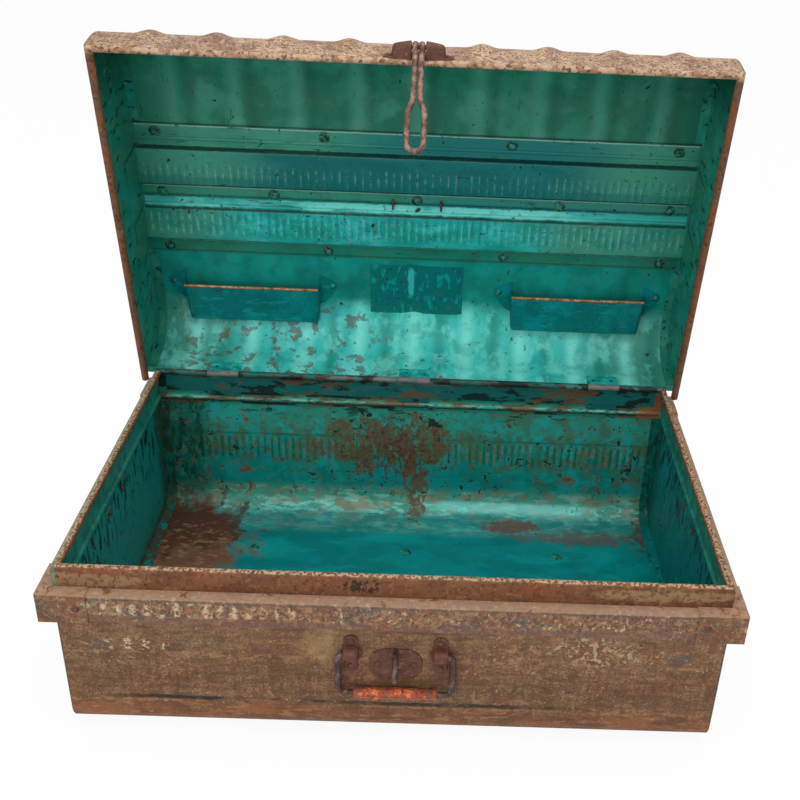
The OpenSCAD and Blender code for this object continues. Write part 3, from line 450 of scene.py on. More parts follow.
class Finishes:
    """The trunk's materials, each made once."""

    def __init__(self) -> None:
        """Builds every material."""
        self.lid_inside = self.make_lid_inside()
        self.batten = self.make_batten()
        self.pocket = self.make_pocket()
        self.lid_end = self.make_lid_end()
        self.lid_outside = self.make_lid_outside()
        self.lid_rim = self.make_lid_rim()
        self.body_outside = self.make_body_outside()
        self.body_inside = self.make_body_inside()
        self.body_end = self.make_body_end()
        self.rim = self.make_rim()
        self.back_rim = self.make_back_rim()
        self.ledge = self.make_ledge()
        self.corner = self.make_corner()
        self.hinge = self.make_hinge()
        self.strap = self.make_strap()
        self.enamel = self.make_enamel()
        self.iron = self.make_iron()
        self.hasp = self.make_hasp()
        self.grip = self.make_grip()
        self.copper = self.make_copper()
        self.lid_rivet = self.make_rivet("lid_rivet_paint", True)
        # The washers are painted darker: painted shade standing in for the dark ring round each washer.
        self.lid_washer = self.make_rivet("lid_washer_paint", True, Paint.DEEP_GREEN)
        self.floor_rivet = self.make_rivet("floor_rivet_paint", False)

    @staticmethod
    def make_lid_inside() -> Material:
        """Green in front, teal behind the battens and bright turquoise at the hinge, this partly painted light on the
        upward-facing shoulder; painted highlights and painted shade follow the ribs, and painted shade darkens the
        front edge and the line along the front batten.
        """
        front = Zone(Axis.Y, -240, -84, 8, 2)
        rear = Zone(Axis.Y, 80, 240, 6)
        shoulder = Zone(Axis.Y, 160, 250, 26, 6)
        middle = Zone(Axis.X, -250, 235, 120, 14, 60)
        hinge = Zone(Axis.Z, 190, 232, 22, 8)
        patch = (Zone(Axis.X, -60, 62.5, 0.6, 0.6, 4), Zone(Axis.Y, 95.5, 169.5, 0.6, 0.6, 4))
        crest = Crests(RIB_PITCH, 34, RIB_SHIFT)
        return Finish(name="lid_inside_paint", base=Paint.GREEN, rough=0.45, on_lid=True, layers=(
            tone(Paint.DEEP_GREEN, 70, 0.5, shift=1), tone(Paint.SEA_GREEN, 45, 0.35, 0.56, shift=5),
            # Painted light and shade: lighter bands along the front ribs and darker bands beside them.
            replace(crest, paint=Paint.SEA_GREEN, amount=0.5, within=(front,)),
            replace(crest, paint=Paint.DEEP_GREEN, offset=17, width=26, amount=0.5, within=(front,)),
            # Painted shade: darker towards the lid's front edge, which faces down when the lid is open.
            Zone(Axis.Y, -240, -206, 30, 6, paint=Paint.DEEP_GREEN, amount=0.5),
            replace(rear, paint=Paint.TEAL, amount=0.95), tone(Paint.CYAN, 50, 0.4, 0.5, shift=2, within=(rear,)),
            tone(Paint.DEEP_TEAL, 30, 0.4, 0.56, shift=6, within=(rear,)),
            # The rear shoulder faces up when the lid is open: its lighter grey-green and turquoise are partly the paint
            # and partly painted light.
            replace(shoulder, paint=Paint.GREY_GREEN, amount=0.8),
            replace(shoulder, paint=Paint.TURQUOISE, amount=0.85, within=(middle,)),
            # Painted highlights on the rib crests of the shoulder, and painted shade between the ribs.
            replace(crest, paint=Paint.BRIGHT, width=34, amount=0.75, within=(shoulder,)),
            replace(crest, paint=Paint.TEAL, offset=33.5, width=30, amount=0.6, within=(shoulder,)),
            tone(Paint.BRIGHT, 22, 0.45, 0.54, 0.14, (1, 0.6, 0.6), 4, (shoulder,)),
            tone(Paint.TEAL, 30, 0.35, 0.57, 0.14, shift=9, within=(shoulder,)),
            tone(Paint.OLIVE_BROWN, 16, 0.7, 0.57, 0.06, shift=7, within=(shoulder, Zone(Axis.X, -320, -40, 90, 20))),
            replace(patch[0], paint=Paint.WEB_TEAL, within=(patch[1],), amount=0.97, relief=0.1),
            tone(Paint.CYAN, 7, 0.6, 0.58, 0.08, (1, 0.4, 0.4), 2, patch),
            tone(Paint.SOOT_AND_SHADE, 5, 0.4, 0.62, 0.04, shift=6, within=patch),
            Zone(Axis.X, -10, -3, 3, 4, 7, paint=Paint.TURQUOISE, amount=0.7,
                 within=(*patch, Zone(Axis.Y, 104, 146, 10, 6))),
            *chips(Paint.SOOT_AND_SHADE, 9, 0.64, shift=2, spread=0.53), *chips(Paint.RED_CHIP, 6, 0.66, shift=5, spread=0.52),
            *chips(Paint.RUST, 14, 0.55, 0.85, 9, (hinge, Zone(Axis.X, -230, 60, 60)), spread=0.42),
            *chips(Paint.RUST, 6, 0.66, 0.7, 4, (shoulder,), spread=0.46),
            tone(Paint.SOOT_AND_SHADE, 3, 0.5, 0.66, 0.04, (1, 0.16, 1), 3, (front,)),
            # Painted shade: a dark line along the front edge of the front batten.
            line(Paint.SOOT_AND_SHADE, Axis.Y, -88.6, 2.0, 0.7, 0.5), fine_tooth())).material()

    @staticmethod
    def make_batten() -> Material:
        """Grey-green ends, a deep teal front web and a cyan rear web; painted shade lines at each step and under the
        flange edges, painted highlights along the flange edges and the raised lip, and painted shade in the washboard
        grooves.
        """
        front = Zone(Axis.Y, -58, -11, 3)
        rear = Zone(Axis.Y, 21, 64, 3)
        flange = Zone(Axis.Y, -90, -58, 2)
        middle = Zone(Axis.X, -205, 205, 110, 25, 60)
        centre = Zone(Axis.X, -235, 150, 120, 25, 60)
        lip = Zone(Axis.Y, 7.5, 19, 2, 1.5, 14)
        return Finish(name="batten_paint", base=Paint.GREEN, rough=0.45, on_lid=True, layers=(
            tone(Paint.DEEP_GREEN, 60, 0.4, shift=2), tone(Paint.TEAL, 40, 0.5, shift=7),
            replace(flange, paint=Paint.SEA_GREEN, amount=0.7),
            tone(Paint.GREEN, 30, 0.6, 0.54, stretch=(0.5, 1, 1), within=(flange,)),
            replace(flange, paint=Paint.WEB_TEAL, amount=0.85, within=(Zone(Axis.X, -70, 235, 120, 25, 60),)),
            Zone(Axis.Y, -11, 7, 2, paint=Paint.WEB_TEAL, amount=0.8, within=(Zone(Axis.X, 0, 290, 120, 25, 60),)),
            replace(front, paint=Paint.GREY_GREEN, amount=0.45),
            replace(front, paint=Paint.WEB_TEAL, within=(middle,), amount=0.95),
            tone(Paint.DEEP_TEAL, 34, 0.7, 0.5, stretch=(0.4, 1, 1), within=(front, middle)),
            replace(rear, paint=Paint.GREY_GREEN, amount=0.6),
            replace(rear, paint=Paint.CYAN, within=(centre,), amount=0.85),
            tone(Paint.TURQUOISE, 30, 0.5, 0.54, stretch=(0.5, 1, 1), within=(rear, centre)),
            tone(Paint.TEAL, 34, 0.6, 0.52, stretch=(0.5, 1, 1), shift=4, within=(rear,)),
            Crests(PITCH, 3.2, paint=Paint.PALE, amount=0.26,
                   within=(Zone(Axis.Y, -40, -15, 6, 5, 6), Mottle(9, 0.44, 0.58))),
            Crests(PITCH, 4.0, paint=Paint.BRIGHT, amount=0.3,
                   within=(Zone(Axis.Y, 27, 55, 6, 5, 6), Mottle(9, 0.42, 0.56, shift=2))),
            # Painted shade: darker strokes in the grooves between the washboard ridges.
            Crests(PITCH, 4.2, 4.4, paint=Paint.DEEP_TEAL, amount=0.5,
                   within=(Zone(Axis.Y, -40, 55, 4, 3, 6), Mottle(18, 0.42, 0.56, shift=4))),
            # Painted highlight: a bright band along the raised lip of the rear batten's front flange.
            replace(lip, paint=Paint.TURQUOISE, amount=0.5),
            replace(lip, paint=Paint.BRIGHT, amount=0.6,
                    within=(Zone(Axis.X, -400, 215, 110), Mottle(40, 0.36, 0.5, (0.4, 1, 1)))),
            Zone(Axis.Y, -11, 2, 4, 2, paint=Paint.SEA_GREEN, amount=0.4),
            # Painted shade: a darker strip at the foot of the front web and dark lines at each step and under each
            # flange edge. Painted highlight: pale lines along the flange edges.
            Zone(Axis.Y, -24, -12, 6, 2, paint=Paint.DEEP_TEAL, amount=0.5), line(Paint.SOOT_AND_SHADE, Axis.Y, -59.4, 2.6, 0.75),
            line(Paint.SOOT_AND_SHADE, Axis.Y, -11.4, 3.0, 0.85), line(Paint.PALE, Axis.Y, -7.5, 1.6, 0.4),
            line(Paint.SOOT_AND_SHADE, Axis.Y, 4.5, 1.6, 0.6), line(Paint.SOOT_AND_SHADE, Axis.Y, 20.4, 2.2, 0.7),
            line(Paint.SOOT_AND_SHADE, Axis.Y, 65, 2.6, 0.8), line(Paint.PALE, Axis.Y, -86.4, 1.6, 0.6, 0.5),
            line(Paint.DEEP_GREEN, Axis.Y, 84, 2.2, 0.7, 0.5), line(Paint.PALE, Axis.Y, 68.5, 1.4, 0.4),
            Layer(paint=Paint.GREEN, amount=0.9, outside=(Zone(Axis.X, -339.5, 339.5, 2),)),
            tone(Paint.TAN, 6, 0.4, 0.6, 0.06, shift=4, within=(Spot((-80, 40, 300), (60, 30, 30), ragged=0.9),)),
            *chips(Paint.SOOT_AND_SHADE, 7, 0.62, shift=1), *chips(Paint.RED_CHIP, 6, 0.655, shift=6),
            tone(Paint.SOOT_AND_SHADE, 4, 0.6, 0.66, 0.04, (0.12, 1, 1), 8), fine_tooth())).material()

    @staticmethod
    def make_pocket() -> Material:
        """Deep teal paint of the two pockets."""
        return Finish(name="pocket_paint", base=Paint.BLUE_TEAL, rough=0.42, on_lid=True, layers=(
            tone(Paint.WEB_TEAL, 45, 0.8, 0.46), tone(Paint.DEEP_TEAL, 24, 0.5, 0.56, shift=3),
            tone(Paint.CYAN, 9, 0.4, 0.62, 0.06, (0.3, 1, 1), 5), tone(Paint.SOOT_AND_SHADE, 4, 0.5, 0.67, 0.03, (0.2, 1, 1)),
            *chips(Paint.SOOT_AND_SHADE, 6, 0.645, shift=4), *chips(Paint.RUST, 6, 0.66, shift=8), fine_tooth())).material()

    @staticmethod
    def make_lid_end() -> Material:
        """End walls of the lid: dark teal with sooty chips inside, tan outside."""
        inner = (Zone(Axis.X, -343.5, 343.5, 0.2),)
        edge = Mottle(9, 0.52, 0.56, swirl=1.0)
        return Finish(name="lid_end_paint", base=Paint.SAND, rough=0.5, on_lid=True, layers=(
            tone(Paint.KHAKI, 30, 0.7), tone(Paint.DARK_BROWN, 5, 0.7, 0.62, 0.06),
            *chips(Paint.RUST, 20, 0.58, edge=Paint.BEIGE), Layer(paint=Paint.TEAL, within=inner),
            tone(Paint.GREEN, 50, 0.8, 0.5, shift=2, within=inner),
            tone(Paint.SEA_GREEN, 24, 0.4, 0.56, shift=5, within=inner),
            # Painted shade: darker towards the lid's front, as on the inside of the lid sheet.
            Zone(Axis.Y, -240, -150, 70, 10, paint=Paint.DEEP_GREEN, amount=0.8, within=inner),
            tone(Paint.SOOT_AND_SHADE, 11, 0.85, 0.605, 0.03, (1, 1.4, 0.5), 3, inner),
            tone(Paint.SEA_GREEN, 9, 0.45, 0.62, 0.05, (1, 1, 0.4), 6, inner),
            Zone(Axis.Z, 180, 201, 2, 1.5, paint=Paint.GREY_GREEN, amount=0.85, within=inner),
            Zone(Axis.Z, 180, 203, 3, 2, paint=Paint.SOOT_AND_SHADE, amount=0.85, within=(*inner, edge)),
            fine_tooth())).material()

    @staticmethod
    def make_lid_outside() -> Material:
        """Pinkish beige paint with dense dark speckle on the outside of the lid."""
        return Finish(name="lid_outside_paint", base=Paint.ROSE_SAND, rough=0.6, on_lid=True, layers=(
            tone(Paint.SAND, 60, 0.7), tone(Paint.BROWN, 30, 0.5, 0.54, shift=4),
            tone(Paint.BEIGE, 8, 0.5, 0.58, 0.1, shift=2), tone(Paint.DARK_BROWN, 2.4, 0.75, 0.53, 0.14),
            tone(Paint.DARK_RUST, 5, 0.7, 0.6, 0.06, shift=7), tone(Paint.PURPLE_BROWN, 18, 0.5, 0.56, shift=9),
            *chips(Paint.RUST, 26, 0.6, 0.8, edge=Paint.BEIGE),
            *chips(Paint.DARK_RUST, 9, 0.63, shift=7, edge=Paint.BEIGE),
            tone(Paint.BEIGE, 4, 0.6, 0.66, 0.04, (0.12, 1, 1), 3), fine_tooth(0.1))).material()

    @staticmethod
    def make_lid_rim() -> Material:
        """Rolled rim of the lid: grey-beige in front, dark rusty brown along the ends."""
        side = Zone(Axis.Y, -216, 260, 6, 3)
        return Finish(name="lid_rim_paint", base=Paint.ROSE_SAND, rough=0.6, on_lid=True, layers=(
            tone(Paint.SAND, 16, 0.6), tone(Paint.BROWN, 9, 0.7, 0.52, 0.12, shift=2),
            replace(side, paint=Paint.DARK_RUST, amount=0.85),
            tone(Paint.RUST, 16, 0.8, 0.5, 0.14, (1, 0.4, 1), 3, (side,)),
            tone(Paint.KHAKI, 7, 0.4, 0.64, 0.06, (1, 0.3, 1), 7, (side,)),
            tone(Paint.DARK_RUST, 5, 0.85, 0.58, 0.08, shift=5), fine_tooth(0.1))).material()

    @staticmethod
    def brown_layers() -> tuple[Layer, ...]:
        """Coats that all outside walls of the body share."""
        return (
            tone(Paint.DARK_BROWN, 80, 0.45, 0.52, 0.2), tone(Paint.KHAKI, 55, 0.5, 0.53, 0.16, shift=5),
            tone(Paint.RUST, 34, 0.45, 0.55, 0.12, shift=8),
            tone(Paint.DARK_BROWN, 14, 0.5, 0.54, 0.14, (1, 1, 0.22), 3),
            tone(Paint.TAN, 16, 0.4, 0.56, 0.12, (1, 1, 0.3), 6), tone(Paint.TAN, 10, 0.45, 0.56, 0.1, shift=11),
            tone(Paint.TAN, 2.6, 0.5, 0.56, 0.14, shift=2), tone(Paint.DARK_BROWN, 2.4, 0.75, 0.53, 0.16, shift=9),
            tone(Paint.DARK_BROWN, 9, 0.45, 0.52, 0.16, (0.5, 1, 1), 13),
            tone(Paint.BEIGE, 4.5, 0.5, 0.655, 0.05, shift=4))

    @classmethod
    def make_body_outside(cls) -> Material:
        """Brown paint on the front and back walls, rusty where the sheet turns under."""
        low = Zone(Axis.Z, -9, 44, 16, 6)
        worn = Mottle(60, 0.44, 0.54, (0.5, 1, 1), shift=8)
        return Finish(name="body_outside_paint", base=Paint.BROWN, rough=0.6, layers=cls.brown_layers() + (
            Zone(Axis.Z, 130, 184, 50, 10, paint=Paint.KHAKI, amount=0.2),
            Zone(Axis.Z, 52, 100, 30, 8, paint=Paint.DARK_BROWN, amount=0.2),
            tone(Paint.DARK_BROWN, 5, 0.5, 0.56, 0.1, (0.15, 1, 1), 15), replace(low, paint=Paint.RUST, amount=0.4),
            tone(Paint.ORANGE_RUST, 20, 0.45, 0.53, 0.12, (0.4, 1, 1), 2, (low,)),
            tone(Paint.DARK_BROWN, 12, 0.6, 0.54, 0.1, (0.3, 1, 1), 7, (low,)),
            tone(Paint.TAN, 5, 0.5, 0.6, 0.06, (0.25, 1, 1), 4, (low,)),
            Zone(Axis.Z, -9, 16, 14, 4, paint=Paint.DARK_RUST, amount=0.6),
            Zone(Axis.Z, 46.4, 51, 2, 2.4, 10, paint=Paint.SOOT_AND_SHADE, amount=0.8, relief=-0.3,
                 within=(worn, Zone(Axis.X, -270, 170, 60, 20))),
            line(Paint.TAN, Axis.Z, 44, 3, 0.4, 2.4, (worn, Mottle(7, 0.44, 0.54, shift=3))),
            line(Paint.TAN, Axis.Z, 108, 4, 0.35, 2.4, (Mottle(9, 0.46, 0.56, shift=1),)),
            # Painted shade: darker stripes in the pressed grooves of the front washboards.
            Crests(PITCH, 5, paint=Paint.DARK_BROWN, amount=0.4,
                   within=(Zone(Axis.Z, 58, 90, 8, 5), Mottle(22, 0.4, 0.56, shift=1))),
            line(Paint.DARK_BROWN, Axis.Z, 158, 2.4, 0.6, 0.6),
            Mottle(5, 0.5, 0.56, paint=Paint.BEIGE, amount=0.75,
                   within=(Spot((-262, -211, 118), (46, 20, 9), ragged=0.5), Crests(19, 15))),
            Mottle(6, 0.5, 0.56, paint=Paint.SLATE, amount=0.75, shift=3,
                   within=(Spot((-296, -211, 116), (16, 20, 14), ragged=0.6),)),
            Mottle(6, 0.5, 0.56, paint=Paint.SLATE, amount=0.75, shift=5,
                   within=(Spot((284, -211, 120), (16, 20, 14), ragged=0.6),)),
            tone(Paint.BEIGE, 6, 0.5, 0.55, 0.08, shift=1, within=(Spot((205, -211, 126), (60, 20, 34), 0.8, 0.8),)),
            Spot((-72, -211, 124), (34, 20, 32), 0.8, 0.9, 14, paint=Paint.GOLD, amount=0.35),
            *chips(Paint.DARK_RUST, 10, 0.635, 0.8, 2, edge=Paint.TAN), fine_tooth(0.1))).material()

    @staticmethod
    def make_body_inside() -> Material:
        """Teal paint inside the body, rusty where wear and damp reach the sheet."""
        floor = Zone(Axis.Z, -5, 11, 7, 2)
        bend = Zone(Axis.Z, 8, 36, 14, 4, 30)
        back = Zone(Axis.Y, 150, 260, 20)
        board = Zone(Axis.Z, 80, 112, 5, 3, 6)
        left = Zone(Axis.X, -340, -272, 22, 8)
        rusty = {"rough": 0.8, "relief": -0.1}
        corner = Zone(Axis.X, -340, -320, 8, 6)
        wall = Zone(Axis.Z, 24, 260, 16)
        streaked = Mottle(12, 0.41, 0.5, (1, 1, 0.5), shift=4)
        return Finish(name="body_inside_paint", base=Paint.TEAL, rough=0.42, layers=(
            tone(Paint.DEEP_TEAL, 70, 0.5, 0.54), tone(Paint.CYAN, 40, 0.4, 0.56, shift=4),
            Zone(Axis.Z, 118, 260, 24, 8, paint=Paint.SEA_GREEN, amount=0.4),
            tone(Paint.CYAN, 22, 0.5, 0.53, 0.14, shift=14, within=(back,)),
            tone(Paint.BLUE_TEAL, 60, 0.6, 0.5, stretch=(0.5, 1, 1), shift=8, within=(Zone(Axis.Z, 30, 88, 20),)),
            replace(floor, paint=Paint.BLUE_TEAL, amount=0.95),
            tone(Paint.WEB_TEAL, 60, 0.6, 0.5, stretch=(0.6, 1, 1), shift=2, within=(floor,)),
            tone(Paint.CYAN, 30, 0.35, 0.57, stretch=(0.4, 1, 1), shift=5, within=(floor,)),
            tone(Paint.SOOT_AND_SHADE, 6, 0.35, 0.63, 0.05, (0.08, 1, 1), 7, (Zone(Axis.Z, 34, 80, 20),)),
            # Painted highlight: lighter along the curve at the foot of the back wall, where it catches the light.
            replace(bend, paint=Paint.GREY_GREEN, amount=0.75, within=(back,)),
            tone(Paint.PALE, 14, 0.45, 0.54, 0.1, (0.4, 1, 1), 3, (bend, back)),
            tone(Paint.BRIGHT, 9, 0.55, 0.54, 0.1, (0.4, 1, 1), 6, (Zone(Axis.Z, 7, 19, 6, 2), back)),
            tone(Paint.KHAKI, 16, 0.6, 0.54, 0.06, (0.6, 1, 1), 9, (bend, back)),
            tone(Paint.TEAL, 5, 0.5, 0.56, 0.08, (0.3, 1, 1), 1, (bend, back)),
            # Painted highlight: a bright band low on that curve.
            Zone(Axis.Z, 10, 20, 7, 3, 20, paint=Paint.BRIGHT, amount=0.6,
                 within=(back, Zone(Axis.X, 30, 245, 50, 10))),
            tone(Paint.OLIVE, 12, 0.7, 0.52, 0.08, shift=13, within=(back, Zone(Axis.Z, 72, 130, 14, 8))),
            Crests(PITCH, 3.8, paint=Paint.KHAKI, amount=0.55, within=(board, back, Mottle(22, 0.4, 0.56, shift=1))),
            # Painted shade: darker strokes in the grooves between the pressed ridges.
            Crests(PITCH, 4.0, 4.6, paint=Paint.DEEP_GREEN, amount=0.9,
                   within=(board, back, Mottle(24, 0.38, 0.5, shift=5))),
            line(Paint.DEEP_GREEN, Axis.Z, 117, 3, 0.5, 1.2, (back,)),
            tone(Paint.OLIVE, 34, 0.6, 0.57, 0.1, shift=11, within=(back, Zone(Axis.Z, 40, 200, 30))),
            tone(Paint.SOOT_AND_SHADE, 9, 0.9, 0.53, 0.03, (1.4, 1, 0.45), 2, (left, back, Zone(Axis.Z, 45, 165, 20))),
            tone(Paint.DEEP_GREEN, 30, 0.7, 0.42, 0.1, within=(left, back)),
            Spot((-36, 211, 110), (96, 40, 50), 0.4, 1.1, 22, paint=Paint.OLIVE_BROWN, amount=0.9, within=(streaked,),
                 **rusty),
            Spot((8, 211, 52), (20, 60, 86), 0.35, 0.9, 9, paint=Paint.OLIVE_BROWN, amount=0.85, within=(streaked,),
                 **rusty),
            Spot((-20, 211, 100), (60, 40, 46), 0.3, 2.2, 9, paint=Paint.DARK_RUST, amount=0.75,
                 within=(Mottle(5, 0.46, 0.54, shift=9),)),
            Spot((-20, 211, 130), (190, 40, 60), 0.5, 1.6, 16, paint=Paint.OLIVE, amount=0.55,
                 within=(Mottle(9, 0.5, 0.58, shift=6),)),
            Spot((-286, 112, 6), (92, 104, 26), 0.4, 0.8, 26, paint=Paint.RUST, amount=0.9, **rusty),
            Spot((-300, 150, 14), (96, 70, 34), 0.4, 1.1, 18, paint=Paint.DARK_RUST, amount=0.85, **rusty),
            tone(Paint.TAN, 7, 0.55, 0.57, 0.08, (0.5, 1, 1), 3,
                 (Spot((-286, 96, 6), (64, 70, 20), ragged=0.8, size=14),)),
            Spot((136, 172, 6), (44, 22, 12), 0.4, 0.9, 14, paint=Paint.PURPLE_BROWN, amount=0.85, **rusty),
            Spot((236, 148, 6), (100, 20, 12), 0.5, 1.3, 12, paint=Paint.PURPLE_BROWN, amount=0.6),
            Spot((322, 160, 12), (22, 50, 40), 0.4, 1.2, 10, paint=Paint.DARK_RUST, amount=0.7, **rusty),
            Spot((318, 211, 178), (22, 30, 30), 0.4, 1.0, 9, paint=Paint.ORANGE_RUST, amount=0.85, **rusty),
            tone(Paint.DARK_RUST, 12, 0.9, 0.45, 0.06, (1, 1, 0.5), 8, (corner,)),
            tone(Paint.SOOT_AND_SHADE, 6, 0.85, 0.54, 0.04, (1, 1, 0.3), 2, (corner,)),
            *chips(Paint.SOOT_AND_SHADE, 12, 0.6, shift=1, within=(wall,)),
            *chips(Paint.RED_CHIP, 13, 0.61, shift=5, within=(wall,)),
            *chips(Paint.RUST, 19, 0.6, shift=9, within=(wall,)), *chips(Paint.SOOT_AND_SHADE, 5, 0.645, shift=6),
            tone(Paint.SOOT_AND_SHADE, 9, 0.8, 0.6, 0.03, (0.3, 1, 1), 4, (Zone(Axis.Z, 150, 200, 20), back)),
            fine_tooth())).material()

    @classmethod
    def make_body_end(cls) -> Material:
        """End walls of the body: dark teal with sooty chips inside, brown outside."""
        inner = (Zone(Axis.X, -330.45, 330.45, 0.1),)
        left = Zone(Axis.X, -340, 0)
        high = Zone(Axis.Z, 105, 260, 60, 14)
        return Finish(name="body_end_paint", base=Paint.BROWN, rough=0.5, layers=cls.brown_layers() + (
            *chips(Paint.DARK_RUST, 14, 0.61, shift=2, edge=Paint.TAN), Layer(paint=Paint.WEB_TEAL, within=inner),
            Zone(Axis.X, -340, 0, 10, paint=Paint.TEAL, amount=0.8, within=inner),
            tone(Paint.BLUE_TEAL, 60, 0.6, 0.52, within=inner),
            tone(Paint.TEAL, 16, 0.4, 0.56, stretch=(1, 1, 0.2), shift=6, within=inner),
            tone(Paint.SOOT_AND_SHADE, 11, 0.9, 0.545, 0.03, (1, 1.2, 0.4), 2, (*inner, high)),
            tone(Paint.SOOT_AND_SHADE, 7, 0.8, 0.63, 0.03, (1, 1, 0.5), 8, inner),
            tone(Paint.DARK_RUST, 12, 0.8, 0.46, 0.08, shift=4, within=(*inner, left, Zone(Axis.Z, -5, 20, 14, 10))),
            tone(Paint.DARK_RUST, 12, 0.9, 0.45, 0.08, (1, 1, 0.5), 5, (*inner, left, Zone(Axis.Y, 188, 230, 16, 10))),
            tone(Paint.SOOT_AND_SHADE, 7, 0.9, 0.53, 0.04, (1, 1, 0.4), 7, (*inner, Zone(Axis.Y, 196, 230, 10, 6))),
            Zone(Axis.Y, 180, 230, 20, 3, paint=Paint.DEEP_GREEN, amount=0.6, within=inner),
            tone(Paint.SEA_GREEN, 7, 0.6, 0.65, 0.05, shift=3, within=inner), fine_tooth())).material()

    @staticmethod
    def make_rim() -> Material:
        """Upright rim of the body: rusty paint with flaked khaki patches and a pale rolled edge."""
        inner = Zone(Axis.Z, 150, 205, 2)
        inside_x = Zone(Axis.X, -329.5, 329.5, 0.2)
        inside_y = Zone(Axis.Y, -209.5, 230, 0.2)
        right = Zone(Axis.X, 170, 400, 60, 20)
        return Finish(name="rim_paint", base=Paint.RUST, rough=0.65, layers=(
            tone(Paint.OLIVE_BROWN, 50, 0.4), tone(Paint.BROWN, 20, 0.4, 0.54, stretch=(0.5, 0.5, 1), shift=3),
            tone(Paint.DARK_RUST, 30, 0.4, 0.54, stretch=(0.5, 1, 1), shift=6),
            Spot((262, -210, 199), (84, 12, 9), paint=Paint.KHAKI, ragged=0.5, size=14, amount=0.8),
            Spot((-300, -210, 196), (70, 12, 9), paint=Paint.KHAKI, ragged=0.8, size=14, amount=0.7),
            tone(Paint.DARK_BROWN, 7, 0.6, 0.56, 0.1, (0.5, 1, 1), 3, (right,)), tone(Paint.TAN, 6, 0.35, 0.6, 0.08),
            tone(Paint.DARK_RUST, 4, 0.6, 0.57, 0.1, shift=5),
            # Pale along the rolled top edge: partly worn paint, partly painted highlight.
            tone(Paint.BEIGE, 3, 0.55, 0.5, 0.12, shift=2, within=(Zone(Axis.Z, 209.6, 220, 1.2, 1.2, 9),)),
            Zone(Axis.X, -340, -326, 2, paint=Paint.GREY_GREEN, amount=0.3),
            Mottle(4, 0.48, 0.52, paint=Paint.SOOT_AND_SHADE, amount=0.8, relief=-0.2,
                   within=(Spot((-34, -210, 199), (22, 8, 10), ragged=0.9, size=5),)),
            Mottle(3, 0.6, 0.63, paint=Paint.SOOT_AND_SHADE, amount=0.8, shift=4,
                   within=(Spot((-60, -210, 199), (60, 8, 10), ragged=0.5, size=5),)),
            Layer(paint=Paint.TEAL, within=(inner, inside_x, inside_y), amount=0.9),
            tone(Paint.DEEP_GREEN, 16, 0.6, 0.5, within=(inner, inside_x, inside_y)),
            *chips(Paint.DARK_RUST, 7, 0.62, shift=1, edge=Paint.TAN), fine_tooth(0.1))).material()

    @staticmethod
    def make_back_rim() -> Material:
        """Strip inside the back wall, below the hinge: teal, with black and brown wear."""
        bead = Zone(Axis.Z, 166, 175, 2)
        return Finish(name="back_rim_paint", base=Paint.TEAL, rough=0.5, layers=(
            tone(Paint.GREEN, 40, 0.8, 0.46, stretch=(0.5, 1, 1)),
            tone(Paint.SOOT_AND_SHADE, 26, 0.9, 0.52, 0.05, (0.4, 1, 1), 2),
            tone(Paint.OLIVE_BROWN, 30, 0.9, 0.56, 0.06, (0.5, 1, 1), 6),
            # Painted highlight: a lighter bead with a pale line along it; painted shade: a dark line under the bead.
            tone(Paint.SOOT_AND_SHADE, 7, 0.8, 0.6, 0.04, (0.4, 1, 1), 9), replace(bead, paint=Paint.SEA_GREEN, amount=0.8),
            line(Paint.PALE, Axis.Z, 171.5, 1.6, 0.4, 0.8, (Mottle(14, 0.42, 0.54, shift=2),)),
            line(Paint.SOOT_AND_SHADE, Axis.Z, 166, 2.2, 0.8, 0.8),
            tone(Paint.OLIVE_BROWN, 16, 0.8, 0.5, 0.08, (0.3, 1, 1), 4, (bead,)),
            tone(Paint.SOOT_AND_SHADE, 5, 0.7, 0.56, 0.05, (0.4, 1, 1), 7, (bead,)),
            Spot((318, 208, 176), (26, 20, 30), paint=Paint.ORANGE_RUST, ragged=0.9, size=9, amount=0.85),
            fine_tooth())).material()

    @staticmethod
    def ledge_layers() -> tuple[Layer, ...]:
        """Coats that the bands and the corner pieces of the ledge share."""
        return (
            tone(Paint.BROWN, 60, 0.6, 0.5, shift=6), tone(Paint.KHAKI, 40, 0.6, 0.54, stretch=(0.5, 0.5, 1), shift=3),
            tone(Paint.SLATE, 26, 0.75, 0.56, 0.1, (0.6, 0.6, 1), 8), tone(Paint.TAN, 4.5, 0.7, 0.54, 0.1),
            tone(Paint.DARK_BROWN, 3.2, 0.75, 0.55, 0.1, shift=5), tone(Paint.BEIGE, 5, 0.55, 0.63, 0.06, shift=9))

    @classmethod
    def make_ledge(cls) -> Material:
        """Worn purple-brown paint of the ledge, flaked pale in one patch, with a painted highlight along its rounded
        top edge.
        """
        flaked = (Spot((-190, -224, 172), (124, 20, 10), ragged=0.5, size=12), Crests(14, 11))
        return Finish(name="ledge_paint", base=Paint.PURPLE_BROWN, rough=0.55, layers=cls.ledge_layers() + (
            Mottle(5, 0.46, 0.54, paint=Paint.BEIGE, amount=0.7, within=flaked),
            # Painted highlight along the rounded top edge.
            Zone(Axis.Z, 184.4, 190, 1.2, 0.8, 16, paint=Paint.ROSE_SAND, amount=0.55),
            line(Paint.SLATE, Axis.Z, 182.6, 2.2, 0.5),
            Zone(Axis.Z, 150, 163, 5, 2, paint=Paint.PURPLE_BROWN, amount=0.6),
            *chips(Paint.RUST, 14, 0.6, shift=2, edge=Paint.TAN), fine_tooth(0.12))).material()

